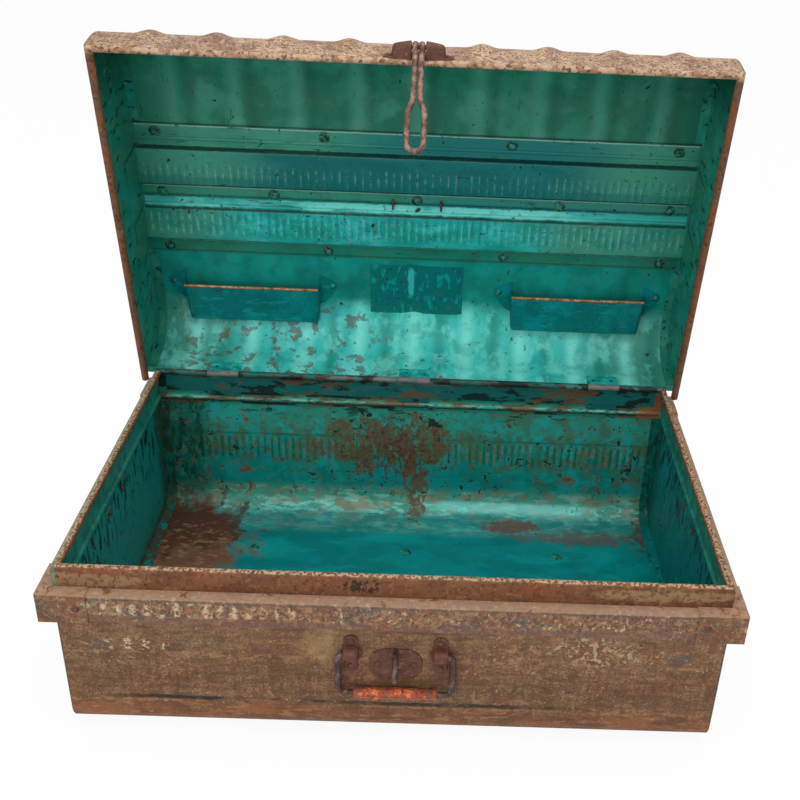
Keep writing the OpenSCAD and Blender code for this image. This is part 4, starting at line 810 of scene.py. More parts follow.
    @classmethod
    def make_corner(cls) -> Material:
        """Corner pieces of the ledge, darker than the bands."""
        return Finish(name="corner_paint", base=Paint.PURPLE_BROWN, rough=0.55, layers=cls.ledge_layers() + (
            tone(Paint.DARK_BROWN, 24, 0.5, 0.48), tone(Paint.RUST, 16, 0.6, 0.54, shift=4),
            # Painted highlight: a pale line along the rounded top edge.
            line(Paint.ROSE_SAND, Axis.Z, 187.4, 1.6, 0.6), *chips(Paint.RUST, 10, 0.58, shift=5, edge=Paint.TAN),
            fine_tooth(0.12))).material()

    @staticmethod
    def make_strap() -> Material:
        """Hinge straps: painted over with the lid, worn to steel round the wire."""
        return Finish(name="strap_paint", base=Paint.CYAN, rough=0.5, layers=(
            tone(Paint.TURQUOISE, 20, 0.6), tone(Paint.TEAL, 12, 0.6, 0.52, shift=3),
            Zone(Axis.Y, 190, 212.5, 2, 1, paint=Paint.GREY_STEEL),
            tone(Paint.DEEP_TEAL, 9, 0.6, 0.54, 0.1, (0.5, 1, 1), 6), *chips(Paint.RUST, 7, 0.6, shift=2),
            fine_tooth())).material()

    @staticmethod
    def make_hinge() -> Material:
        """Worn sheet of the hinge: grey-mauve in the middle, teal towards the ends."""
        ends = Zone(Axis.X, -110, 60, 110, 30, 40)
        return Finish(name="hinge_metal", base=Paint.BLUE_STEEL, rough=0.5, metallic=0.1, layers=(
            tone(Paint.DEEP_TEAL, 30, 0.8, 0.46, stretch=(0.4, 1, 1)),
            tone(Paint.GREY_STEEL, 30, 0.8, 0.46, stretch=(0.5, 1, 1), shift=3, within=(ends,)),
            tone(Paint.DEEP_GREEN, 16, 0.7, 0.52, stretch=(0.3, 1, 1), shift=5),
            tone(Paint.DARK_RUST, 9, 0.8, 0.54, 0.08, (0.5, 1, 1), 6),
            Zone(Axis.Z, 165, 200, 4, 3, paint=Paint.DEEP_TEAL, amount=0.85),
            tone(Paint.SOOT_AND_SHADE, 16, 0.85, 0.55, 0.05, (0.4, 1, 1), 9),
            tone(Paint.OLIVE_BROWN, 20, 0.85, 0.57, 0.05, (0.4, 1, 1), 1, (Zone(Axis.Z, 160, 200, 3),)),
            fine_tooth())).material()

    @staticmethod
    def make_enamel() -> Material:
        """Dark red-brown plates and their rivets."""
        return Finish(name="plate_enamel", base=Paint.MAROON, rough=0.5, layers=(
            tone(Paint.DARK_RUST, 10, 0.6), tone(Paint.RUST, 3.4, 0.5, 0.58, 0.08, shift=3),
            tone(Paint.ROSY_IRON, 5, 0.45, 0.62, 0.06, shift=7), tone(Paint.SOOT_AND_SHADE, 3, 0.5, 0.63, 0.05, shift=9),
            fine_tooth(0.08))).material()

    @staticmethod
    def make_iron() -> Material:
        """Dark oxidised wire."""
        return Finish(name="iron_wire", base=Paint.IRON, rough=0.5, metallic=0.2, specular=0.4, layers=(
            tone(Paint.GREY_STEEL, 10, 0.6, 0.54, 0.1, (1, 1, 0.4)), tone(Paint.MAROON, 6, 0.6, 0.52, shift=4),
            Mottle(2.5, 0.56, 0.64, paint=Paint.SOOT_AND_SHADE, amount=0.7, relief=-0.06), fine_tooth(0.08))).material()

    @staticmethod
    def make_hasp() -> Material:
        """Bare, rosy-brown worn wire of the hasp."""
        return Finish(name="hasp_iron", base=Paint.ROSY_IRON, rough=0.5, metallic=0.15, specular=0.4, layers=(
            tone(Paint.IRON, 9, 0.75, 0.5, 0.12), tone(Paint.SAND, 6, 0.45, 0.59, 0.08, shift=3),
            Mottle(3, 0.54, 0.62, paint=Paint.DARK_RUST, amount=0.75, relief=-0.06, shift=6),
            fine_tooth(0.08))).material()

    @staticmethod
    def make_grip() -> Material:
        """Orange-red paint on the grip, rubbed through to grey-brown."""
        return Finish(name="grip_paint", base=Paint.ORANGE_RED, rough=0.45, layers=(
            tone(Paint.RUST, 9, 0.6, 0.5), tone(Paint.ORANGE, 7, 0.7, 0.57, 0.06, shift=8),
            Mottle(9, 0.53, 0.6, (0.6, 1, 1), paint=Paint.PURPLE_BROWN, amount=0.85, shift=3, relief=-0.1),
            tone(Paint.DARK_RUST, 4, 0.75, 0.6, 0.05, shift=6), fine_tooth(0.08))).material()

    @staticmethod
    def make_copper() -> Material:
        """Coppered wire in the lips of the pockets."""
        return Finish(name="lip_copper", base=Paint.COPPER, rough=0.45, metallic=0.3, on_lid=True, layers=(
            tone(Paint.DARK_RUST, 8, 0.7, 0.54, 0.12, (0.4, 1, 1)), tone(Paint.BEIGE, 6, 0.5, 0.58, 0.08, shift=2),
            tone(Paint.TEAL, 9, 0.7, 0.6, 0.05, shift=5), fine_tooth())).material()

    @staticmethod
    def make_rivet(name: str, on_lid: bool, base: Paint = Paint.TEAL) -> Material:
        """Rivets painted like the sheet round them, rubbed pale or rusty on top.

        Args:
            name: Name of the material.
            on_lid: Whether the colours follow the shut lid.
            base: Colour of the plain coat, darker for the washers as painted shade for the dark ring round each.

        Returns:
            The finished material.
        """
        return Finish(name=name, base=base, rough=0.45, on_lid=on_lid, layers=(
            tone(Paint.GREEN, 14, 0.5), tone(Paint.SEA_GREEN, 7, 0.5, 0.56, shift=2),
            tone(Paint.SOOT_AND_SHADE, 4, 0.85, 0.53, 0.05, shift=3), tone(Paint.RUST, 4, 0.8, 0.62, 0.04, shift=7),
            fine_tooth())).material()


class Rows:
    """Builds Geometry Nodes trees for what repeats on the trunk, and runs them on plain meshes."""

    def __init__(self) -> None:
        """Builds the three trees once."""
        self.ids: dict[str, dict[str, str]] = {}
        self.ridges = self.make_ridges()
        self.heads = self.make_heads()
        self.wire = self.make_wire()

    def start(self, name: str, sizes: dict[str, str]) -> Tree:
        """Starts a tree with a geometry input and output, named sizes and a material.

        Args:
            name: The tree's name.
            sizes: Socket types by input name.

        Returns:
            The new tree.
        """
        tree = bpy.data.node_groups.new(name, "GeometryNodeTree")
        tree.interface.new_socket("Geometry", in_out="OUTPUT", socket_type="NodeSocketGeometry")
        tree.interface.new_socket("Geometry", in_out="INPUT", socket_type="NodeSocketGeometry")
        wanted = {**sizes, "Finish": "NodeSocketMaterial"}
        self.ids[name] = {label: tree.interface.new_socket(label, in_out="INPUT", socket_type=kind).identifier
                          for label, kind in wanted.items()}
        return tree

    @staticmethod
    def math(tree: Tree, operation: str, first: Value, second: Value = 0.0) -> Socket:
        """Adds a math node and returns its result."""
        return add_node(tree, "ShaderNodeMath", {0: first, 1: second}, operation=operation).outputs[0]

    @staticmethod
    def close(tree: Tree, geometry: Socket, finish: Socket) -> None:
        """Ends a tree with smooth shading, real geometry and its material."""
        smooth = add_node(tree, "GeometryNodeSetShadeSmooth", {0: geometry})
        real = add_node(tree, "GeometryNodeRealizeInstances", {0: smooth.outputs[0]})
        dressed = add_node(tree, "GeometryNodeSetMaterial", {"Geometry": real.outputs[0], "Material": finish})
        add_node(tree, "NodeGroupOutput", {0: dressed.outputs[0]})

    def make_ridges(self) -> Tree:
        """Presses ridges into a sheet: the attribute push says which way and how strongly."""
        kind = "NodeSocketFloat"
        tree = self.start("pressed_ridges", {"Pitch": kind, "Width": kind, "Height": kind, "Offset": kind})
        given = tree.nodes.new("NodeGroupInput").outputs
        place = add_node(tree, "ShaderNodeSeparateXYZ", {0: tree.nodes.new("GeometryNodeInputPosition").outputs[0]})
        turns = self.math(tree, "DIVIDE", self.math(tree, "SUBTRACT", place.outputs[0], given["Offset"]),
                          given["Pitch"])
        away = self.math(tree, "ABSOLUTE", self.math(tree, "SUBTRACT", turns, self.math(tree, "ROUND", turns)))
        reach = self.math(tree, "DIVIDE", self.math(tree, "DIVIDE", given["Width"], 2.0), given["Pitch"])
        crest = add_node(tree, "ShaderNodeMapRange", {"Value": self.math(tree, "DIVIDE", away, reach),
                                                      "From Min": 1.0, "From Max": 0.0},
                         interpolation_type="SMOOTHSTEP").outputs[0]
        push = add_node(tree, "GeometryNodeInputNamedAttribute", {"Name": "push"},
                        data_type="FLOAT_VECTOR").outputs[0]
        shift = add_node(tree, "ShaderNodeVectorMath",
                         {0: push, "Scale": self.math(tree, "MULTIPLY", crest, given["Height"])},
                         operation="SCALE").outputs[0]
        moved = add_node(tree, "GeometryNodeSetPosition", {"Geometry": given["Geometry"], "Offset": shift})
        self.close(tree, moved.outputs[0], given["Finish"])
        return tree

    def make_heads(self) -> Tree:
        """Sets a domed head on each point: the attribute facing says which way it looks."""
        kind = "NodeSocketFloat"
        tree = self.start("domed_heads", {"Radius": kind, "Height": kind, "Spread": kind})
        given = tree.nodes.new("NodeGroupInput").outputs
        ball = add_node(tree, "GeometryNodeMeshUVSphere", {"Segments": 20, "Rings": 12, "Radius": 1.0})
        part = add_node(tree, "ShaderNodeSeparateXYZ", {0: tree.nodes.new("GeometryNodeInputPosition").outputs[0]})
        raised = self.math(tree, "MULTIPLY", self.math(tree, "MAXIMUM", part.outputs[2], -0.05), given["Height"])
        flat = add_node(tree, "ShaderNodeCombineXYZ", {
            0: self.math(tree, "MULTIPLY", part.outputs[0], given["Radius"]),
            1: self.math(tree, "MULTIPLY", part.outputs[1], given["Radius"]), 2: raised})
        dome = add_node(tree, "GeometryNodeSetPosition", {"Geometry": ball.outputs["Mesh"],
                                                          "Position": flat.outputs[0]})
        facing = add_node(tree, "GeometryNodeInputNamedAttribute", {"Name": "facing"}, data_type="FLOAT_VECTOR")
        turn = add_node(tree, "FunctionNodeAlignRotationToVector", {"Vector": facing.outputs[0]}, axis="Z")
        worn = add_node(tree, "FunctionNodeRandomValue", {
            2: self.math(tree, "SUBTRACT", 1.0, given["Spread"]), 3: 1.0, "Seed": 7}, data_type="FLOAT")
        rows = add_node(tree, "GeometryNodeInstanceOnPoints", {
            "Points": given["Geometry"], "Instance": dome.outputs[0], "Rotation": turn.outputs[0],
            "Scale": worn.outputs[1]})
        self.close(tree, rows.outputs[0], given["Finish"])
        return tree

    def make_wire(self) -> Tree:
        """Sweeps a round section along the edges of a path."""
        tree = self.start("drawn_wire", {"Radius": "NodeSocketFloat", "Sides": "NodeSocketInt"})
        given = tree.nodes.new("NodeGroupInput").outputs
        path = add_node(tree, "GeometryNodeMeshToCurve", {0: given["Geometry"]})
        ring = add_node(tree, "GeometryNodeCurvePrimitiveCircle", {"Resolution": given["Sides"],
                                                                   "Radius": given["Radius"]}, mode="RADIUS")
        tube = add_node(tree, "GeometryNodeCurveToMesh", {"Curve": path.outputs[0],
                                                          "Profile Curve": ring.outputs[0], "Fill Caps": True})
        self.close(tree, tube.outputs[0], given["Finish"])
        return tree

    def run(self, source: Mesh, tree: Tree, sizes: dict[str, object]) -> Mesh:
        """Runs a tree on a mesh.

        Args:
            source: The plain mesh that the tree starts from.
            tree: One of the trees of this class.
            sizes: Values by input name, lengths in metres.

        Returns:
            A plain mesh with no modifier.
        """
        holder = bpy.data.objects.new(source.name, source)
        bpy.context.scene.collection.objects.link(holder)
        modifier = holder.modifiers.new(tree.name, "NODES")
        modifier.node_group = tree
        for label, value in sizes.items():
            modifier[self.ids[tree.name][label]] = value
        view = bpy.context.evaluated_depsgraph_get()
        made = bpy.data.meshes.new_from_object(holder.evaluated_get(view), preserve_all_data_layers=True,
                                               depsgraph=view)
        holder.modifiers.clear()
        bpy.data.objects.remove(holder)
        return made


def plain_mesh(name: str, points: np.ndarray, faces: Sequence, edges: Sequence = ()) -> Mesh:
    """Makes a mesh from places in millimetres.

    Args:
        name: The mesh's name.
        points: Places, one row each.
        faces: Corner numbers of each face.
        edges: End numbers of loose edges.

    Returns:
        The mesh, in metres.
    """
    mesh = bpy.data.meshes.new(name)
    mesh.from_pydata((np.asarray(points, dtype=float).reshape(-1, 3) * MM).tolist(), list(edges),
                     [tuple(map(int, f)) for f in faces])
    mesh.update()
    return mesh


def add_vectors(mesh: Mesh, name: str, vectors: np.ndarray) -> None:
    """Stores one vector for each point of a mesh."""
    layer = mesh.attributes.new(name, "FLOAT_VECTOR", "POINT")
    layer.data.foreach_set("vector", np.asarray(vectors, dtype=np.float32).ravel())


def read_points(mesh: Mesh) -> np.ndarray:
    """Reads a mesh's places in millimetres."""
    flat = np.empty(len(mesh.vertices) * 3)
    mesh.vertices.foreach_get("co", flat)
    return flat.reshape(-1, 3) / MM


def grid_faces(rows: int, columns: int, start: int = 0) -> np.ndarray:
    """Corner numbers of the quads of a grid of points."""
    corner = start + np.arange((rows - 1) * columns).reshape(rows - 1, columns)[:, :-1].ravel()
    return np.stack([corner, corner + 1, corner + columns + 1, corner + columns], axis=1)


def sheet_normals(grid: np.ndarray) -> np.ndarray:
    """Unit vectors square to a grid of points: along the rows crossed with along the columns."""
    across = np.gradient(grid, axis=1)
    down = np.gradient(grid, axis=0)
    square = np.cross(across, down)
    return square / np.maximum(np.linalg.norm(square, axis=2, keepdims=True), 1e-9)


def sheet_mesh(name: str, grid: np.ndarray, thickness: float) -> Mesh:
    """Closes a grid of points to a sheet of metal.

    Args:
        name: The mesh's name.
        grid: Rows and columns of places on the face that the normals point out of.
        thickness: Thickness of the sheet, on the other side.

    Returns:
        The closed mesh: the given face and the edges use the first material, the other face the second.
    """
    rows, columns, _ = grid.shape
    back = grid - sheet_normals(grid) * thickness
    count = rows * columns
    front_faces = grid_faces(rows, columns)
    back_faces = grid_faces(rows, columns, count)[:, ::-1]
    number = np.arange(count).reshape(rows, columns)
    loop = np.concatenate([number[0, :-1], number[:-1, -1], number[-1, :0:-1], number[:0:-1, 0]])
    after = np.roll(loop, -1)
    edge_faces = np.stack([after, loop, loop + count, after + count], axis=1)
    faces = np.concatenate([front_faces, back_faces, edge_faces])
    mesh = plain_mesh(name, np.concatenate([grid.reshape(-1, 3), back.reshape(-1, 3)]), faces)
    index = np.zeros(len(faces), dtype=np.int32)
    index[len(front_faces):len(front_faces) + len(back_faces)] = 1
    mesh.polygons.foreach_set("material_index", index)
    return mesh


def smooth_mesh(mesh: Mesh, angle: float = 38.0) -> None:
    """Shades a mesh smooth, apart from edges sharper than the angle in degrees."""
    mesh.polygons.foreach_set("use_smooth", [True] * len(mesh.polygons))
    mesh.set_sharp_from_angle(angle=math.radians(angle))


def rounded(corners: Sequence[tuple[float, float]], radius: float, steps: int = 4) -> list[tuple[float, float]]:
    """Rounds the corners of an open line.

    Args:
        corners: The line's points.
        radius: Distance from each corner where its curve starts.
        steps: Pieces of each curve.

    Returns:
        The points of the rounded line.
    """
    out = [corners[0]]
    for before, here, after in zip(corners, corners[1:], corners[2:]):
        a, b, c = Vector(before), Vector(here), Vector(after)
        into = min(radius, (b - a).length * 0.45)
        onward = min(radius, (c - b).length * 0.45)
        start, end = b + (a - b).normalized() * into, b + (c - b).normalized() * onward
        for i in range(steps + 1):
            t = i / steps
            out.append(tuple(start * (1 - t) ** 2 + b * 2 * t * (1 - t) + end * t ** 2))
    return out + [corners[-1]]


def spaced(corners: Sequence[tuple[float, float]], step: float) -> np.ndarray:
    """Adds points to a line, so that none lie further apart than the step."""
    out = [np.array(corners[0], dtype=float)]
    for here in corners[1:]:
        target = np.array(here, dtype=float)
        count = max(1, math.ceil(np.linalg.norm(target - out[-1]) / step))
        first = out[-1]
        out += [first + (target - first) * i / count for i in range(1, count + 1)]
    return np.array(out)


def waves(points: np.ndarray, size: float, seed: float) -> np.ndarray:
    """Smooth unevenness for old sheet.

    Args:
        points: Places in millimetres, x, y and z last.
        size: Distance between dents.
        seed: Moves the pattern.

    Returns:
        About -1 to 1 for each place.
    """
    flat = points.reshape(-1, 3) / size + seed
    level = [noise.noise(Vector(p)) for p in flat]
    return np.array(level).reshape(points.shape[:-1])


def swept(line: np.ndarray, xs: np.ndarray) -> np.ndarray:
    """Grid of points: rows down a line in Y and Z, columns at the places along X."""
    out = np.empty((len(line), len(xs), 3))
    out[:, :, 0] = xs
    out[:, :, 1:] = line[:, None, :]
    return out


class Shop:
    """Puts finished pieces into the scene and keeps count."""

    def __init__(self, rows: Rows) -> None:
        """Opens the shop with the trees for repeated shapes."""
        self.rows = rows
        self.made = 0

    def piece(self, name: str, mesh: Mesh, body: str, slot: str,
              materials: Sequence[Material], nodes: Sequence[str] = ()) -> bpy.types.Object:
        """Adds a finished piece.

        Args:
            name: The piece's name.
            mesh: Its mesh, in place.
            body: The moving body that it goes with.
            slot: Not used.
            materials: Its materials in order.
            nodes: CAD nodes that it stands for.

        Returns:
            The new object, at the origin.
        """
        obj = bpy.data.objects.new(name, mesh)
        mesh.name = name
        if not mesh.materials:
            for material in materials:
                mesh.materials.append(material)
        bpy.context.scene.collection.objects.link(obj)
        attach(obj, body)
        if nodes:
            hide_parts(*nodes)
        self.made += 1
        log.info("%s: %d faces on %s", name, len(mesh.polygons), body)
        return obj

    def wire(self, name: str, path: np.ndarray, radius: float, body: str, slot: str,
             material: Material, nodes: Sequence[str] = (), sides: int = 20,
             closed: bool = False) -> bpy.types.Object:
        """Draws a round wire along a path in millimetres and adds it."""
        count = len(path)
        edges = [(i, i + 1) for i in range(count - 1)] + ([(count - 1, 0)] if closed else [])
        source = plain_mesh(name + "_path", path, [], edges)
        mesh = self.rows.run(source, self.rows.wire, {"Radius": radius * MM, "Sides": sides, "Finish": material})
        return self.piece(name, mesh, body, slot, [material], nodes)

    def heads(self, name: str, places: np.ndarray, facing: np.ndarray, radius: float, height: float, body: str,
              slot: str, material: Material, nodes: Sequence[str] = ()) -> bpy.types.Object:
        """Sets domed heads at places in millimetres and adds them as one piece."""
        source = plain_mesh(name + "_places", places, [])
        add_vectors(source, "facing", facing)
        mesh = self.rows.run(source, self.rows.heads, {"Radius": radius * MM, "Height": height * MM,
                                                       "Spread": 0.08, "Finish": material})
        return self.piece(name, mesh, body, slot, [material], nodes)

    def pressed(self, name: str, grid: np.ndarray, push: np.ndarray, pitch: float, width: float, height: float,
                offset: float, material: Material) -> np.ndarray:
        """Presses ridges into a grid of points.

        Args:
            name: Name of the sheet.
            grid: Rows and columns of places in millimetres.
            push: Direction and strength of the press for each place.
            pitch: Distance between ridges.
            width: Width of a ridge.
            height: Height of a ridge.
            offset: Place of one ridge along the width.
            material: The sheet's material.

        Returns:
            The moved grid.
        """
        rows, columns, _ = grid.shape
        source = plain_mesh(name + "_sheet", grid, grid_faces(rows, columns))
        add_vectors(source, "push", push.reshape(-1, 3))
        mesh = self.rows.run(source, self.rows.ridges, {
            "Pitch": pitch * MM, "Width": width * MM, "Height": height * MM, "Offset": offset * MM,
            "Finish": material})
        moved = read_points(mesh).reshape(grid.shape)
        bpy.data.meshes.remove(mesh)
        return moved


def fade(value: np.ndarray, start: float, end: float, soft: float) -> np.ndarray:
    """1 between start and end, falling to 0 over the soft width on both sides."""
    rise = np.clip((value - start) / soft, 0, 1)
    fall = np.clip((end - value) / soft, 0, 1)
    both = rise * fall
    return both * both * (3 - 2 * both)


@dataclass(frozen=True)
class Washboard:
    """A field of small ridges pressed into a wall of the body."""

    x_start: float
    x_end: float
    z_start: float
    z_end: float

    def share(self, x: np.ndarray, z: np.ndarray) -> np.ndarray:
        """1 on the field, falling to 0 at its edges."""
        return fade(x, self.x_start, self.x_end, 10) * fade(z, self.z_start, self.z_end, 9)


@dataclass
class BodySheet:
    """The sheet that makes the body's front wall, floor and back wall."""

    half_width: float = 330.0
    half_depth: float = 211.3
    floor_z: float = 5.0
    wall_top: float = 185.4
    bend_radius: float = 28.0
    thickness: float = 1.0
    column_step: float = 1.95
    row_step: float = 4.2
    ridge_pitch: float = PITCH
    ridge_width: float = 6.0
    ridge_height: float = 1.1
    crease_z: float = 49.0
    crease_width: float = 2.6
    crease_depth: float = 0.7
    dent_depth: float = 1.3
    front_boards: tuple[Washboard, ...] = (Washboard(-266, -64, 57, 89), Washboard(88, 263, 57, 89))
    back_boards: tuple[Washboard, ...] = (Washboard(-306, 317, 77, 114),)

    def section(self) -> np.ndarray:
        """The sheet's outer line in Y and Z, from the front wall's top to the back wall's."""
        depth, radius, low = self.half_depth, self.bend_radius, self.floor_z
        arc = [math.radians(90 * i / 9) for i in range(10)]
        front = [(-depth, self.wall_top)] + [(-depth + radius - radius * math.cos(a), low + radius
                                              - radius * math.sin(a)) for a in arc]
        back = [(-y, z) for y, z in reversed(front)]
        return spaced(front + back, self.row_step)

    def grid(self) -> np.ndarray:
        """Rows down the section, columns from right to left, so that the normals point out."""
        count = round(2 * self.half_width / self.column_step)
        return swept(self.section(), np.linspace(self.half_width, -self.half_width, count + 1))

    def push(self, grid: np.ndarray) -> np.ndarray:
        """Where ridges are pressed, pointing inwards."""
        x, y, z = grid[..., 0], grid[..., 1], grid[..., 2]
        out = np.zeros(grid.shape)
        for board in self.front_boards:
            out[..., 1] += board.share(x, z) * (y < 0)
        for board in self.back_boards:
            out[..., 1] -= board.share(x, z) * (y > 0)
        return out

    def worn(self, grid: np.ndarray) -> np.ndarray:
        """Dents the walls inwards a little, and creases the front wall."""
        x, y, z = grid[..., 0], grid[..., 1], grid[..., 2]
        dent = np.clip(waves(grid, 95, 3.1) + 0.45 * waves(grid, 38, 8.7) + 0.1, 0, 1)
        flat = fade(x, -322, 322, 30) * fade(z, 20, 178, 20)
        clear = 1 - fade(x, -78, 80, 25) * (y < 0) * fade(z, 50, 150, 25)
        crease = np.exp(-((z - self.crease_z) / self.crease_width) ** 2) * (y < 0) * fade(x, -300, 310, 30)
        depth = self.dent_depth * dent * flat * clear + self.crease_depth * crease
        grid[..., 1] -= np.sign(y) * depth
        return grid

    def build(self, shop: Shop, finishes: Finishes) -> None:
        """Adds the sheet."""
        grid = self.grid()
        grid = shop.pressed("body_sheet", grid, self.push(grid), self.ridge_pitch, self.ridge_width,
                            self.ridge_height, 0.0, finishes.body_outside)
        mesh = sheet_mesh("body_sheet", self.worn(grid), self.thickness)
        smooth_mesh(mesh)
        shop.piece("body_sheet", mesh, "body", "outer_paint", [finishes.body_outside, finishes.body_inside],
                   ["body_wrap"])


@dataclass
class LidSheet:
    """The sheet that makes the lid's front skirt, shoulders, top and back skirt."""

    half_width: float = 342.7
    front_y: float = -224.0
    back_y: float = 211.0
    front_low: float = 191.9
    back_low: float = 211.6
    top_z: float = 310.0
    front_radius: float = 95.0
    back_radius: float = 50.0
    thickness: float = 1.0
    column_step: float = 3.0
    row_step: float = 5.0
    rib_pitch: float = RIB_PITCH
    rib_shift: float = RIB_SHIFT
    rib_reach: float = 4.4
    rib_width: float = 36.0
    rib_rise: float = 4.0
    rib_front: tuple[float, float] = (212.4, -88.0)
    rib_back: tuple[float, float] = (236.0, 88.0)
    dent_depth: float = 1.1

    def section(self) -> np.ndarray:
        """The shut lid's outer line in Y and Z, from the front edge to the back edge."""
        arc = [math.radians(90 * i / 20) for i in range(21)]
        wide, small, top = self.front_radius, self.back_radius, self.top_z
        front = [(self.front_y, self.front_low)] + [
            (self.front_y + wide - wide * math.cos(a), top - wide + wide * math.sin(a)) for a in arc]
        back = [(self.back_y - small + small * math.sin(a), top - small + small * math.cos(a)) for a in arc]
        return spaced(front + back + [(self.back_y, self.back_low)], self.row_step)

    def grid(self) -> np.ndarray:
        """Rows over the lid from front to back, columns from left to right, so that the normals point out."""
        count = round(2 * self.half_width / self.column_step)
        return swept(self.section(), np.linspace(-self.half_width, self.half_width, count + 1))

    def push(self, grid: np.ndarray) -> np.ndarray:
        """Ribs stand out over both shoulders."""
        x, y, z = grid[..., 0], grid[..., 1], grid[..., 2]
        front = np.clip((z - self.rib_front[0]) / 12, 0, 1) * np.clip((self.rib_front[1] - y) / 12, 0, 1)
        back = np.clip((z - self.rib_back[0]) / 12, 0, 1) * np.clip((y - self.rib_back[1]) / 12, 0, 1)
        share = np.maximum(front, back) * (np.abs(x - self.rib_shift) < self.rib_reach * self.rib_pitch)
        out = sheet_normals(grid) * share[..., None]
        out[..., 0] = 0
        return out

    def worn(self, grid: np.ndarray) -> np.ndarray:
        """Dents the sheet inwards, where no batten lies on it."""
        y, z = grid[..., 1], grid[..., 2]
        dent = np.clip(waves(grid, 90, 5.3) + 0.4 * waves(grid, 34, 1.9), 0, 1)
        free = 1 - fade(y, -100, 100, 14)
        ends = fade(grid[..., 0], -338, 338, 26)
        low = np.clip((z - self.back_low) / 30, 0, 1)
        return grid - sheet_normals(grid) * (self.dent_depth * dent * free * ends * low)[..., None]

    def build(self, shop: Shop, finishes: Finishes) -> None:
        """Adds the sheet on the open lid."""
        grid = self.grid()
        grid = shop.pressed("lid_sheet", grid, self.push(grid), self.rib_pitch, self.rib_width, self.rib_rise,
                            self.rib_shift, finishes.lid_outside)
        mesh = sheet_mesh("lid_sheet", HINGE.opened(self.worn(grid)), self.thickness)
        smooth_mesh(mesh)
        shop.piece("lid_sheet", mesh, "lid", "lid_paint", [finishes.lid_outside, finishes.lid_inside],
                   ["lid_shell"])


@dataclass
class Batten:
    """A hat-shaped stiffener under the lid's top, with a tab on each end wall."""

    name: str
    node: str
    corners: tuple[tuple[float, float], ...]
    bead_y: float
    board: tuple[float, float, float, float]
    tab: tuple[float, float, float, float]
    half_width: float = 342.6
    thickness: float = 1.0
    bend: float = 1.6
    bead_radius: float = 1.8
    columns: int = 352
    ridge_pitch: float = PITCH
    ridge_width: float = 6.4
    ridge_height: float = 1.2
    tab_low: float = 259.0

    def section(self) -> np.ndarray:
        """The upper line in Y and Z, with the bead pressed down into its flange."""
        line = rounded(self.corners, self.bend, 3)
        out: list[tuple[float, float]] = []
        for here, after in zip(line, line[1:]):
            out.append(here)
            if here[0] < self.bead_y < after[0]:
                for i in range(9):
                    a = math.radians(180 * i / 8)
                    out.append((self.bead_y - self.bead_radius * math.cos(a),
                                here[1] - 0.9 * self.bead_radius * math.sin(a)))
        out.append(line[-1])
        return spaced(out, 3.0)

    def grid(self) -> np.ndarray:
        """Rows from front to back, columns from left to right."""
        return swept(self.section(), np.linspace(-self.half_width, self.half_width, self.columns))

    def push(self, grid: np.ndarray) -> np.ndarray:
        """The washboard of the web, pressed towards the inside."""
        x_start, x_end, y_start, y_end = self.board
        out = np.zeros(grid.shape)
        out[..., 2] = -fade(grid[..., 0], x_start, x_end, 12) * fade(grid[..., 1], y_start, y_end, 5)
        return out

    def tab_grid(self, side: int) -> np.ndarray:
        """A tab turned down onto the end wall on one side."""
        front, rear, low_front, low_rear = self.tab
        web_z = min(z for _, z in self.corners)
        out = np.empty((14, 12, 3))
        for i in range(14):
            t = i / 13
            z = web_z - 1.0 - (web_z - 1.0 - self.tab_low) * t
            a, b = front + (low_front - front) * t, rear + (low_rear - rear) * t
            for j in range(12):
                y = a + (b - a) * j / 11
                ripple = 0.9 * noise.noise(Vector((y / 9, z / 7, side * 3.0)))
                out[i, j] = (side * (self.half_width - 1.2 * t * (1 - t)), y + ripple * (j in (0, 11)), z)
        return out if side < 0 else out[:, ::-1]

    def build(self, shop: Shop, finishes: Finishes) -> None:
        """Adds the batten and its tabs."""
        grid = self.grid()
        grid = shop.pressed(self.name, grid, self.push(grid), self.ridge_pitch, self.ridge_width,
                            self.ridge_height, 0.0, finishes.batten)
        mesh = sheet_mesh(self.name, HINGE.opened(grid), self.thickness)
        smooth_mesh(mesh, 50)
        shop.piece(self.name, mesh, "lid", "inner_paint", [finishes.batten, finishes.batten], [self.node])
        for side, word in SIDES:
            mesh = sheet_mesh(self.name + "_tab", HINGE.opened(self.tab_grid(side)), self.thickness)
            smooth_mesh(mesh)
            shop.piece(f"{self.name}_{word}_tab", mesh, "lid", "inner_paint", [finishes.batten, finishes.batten])


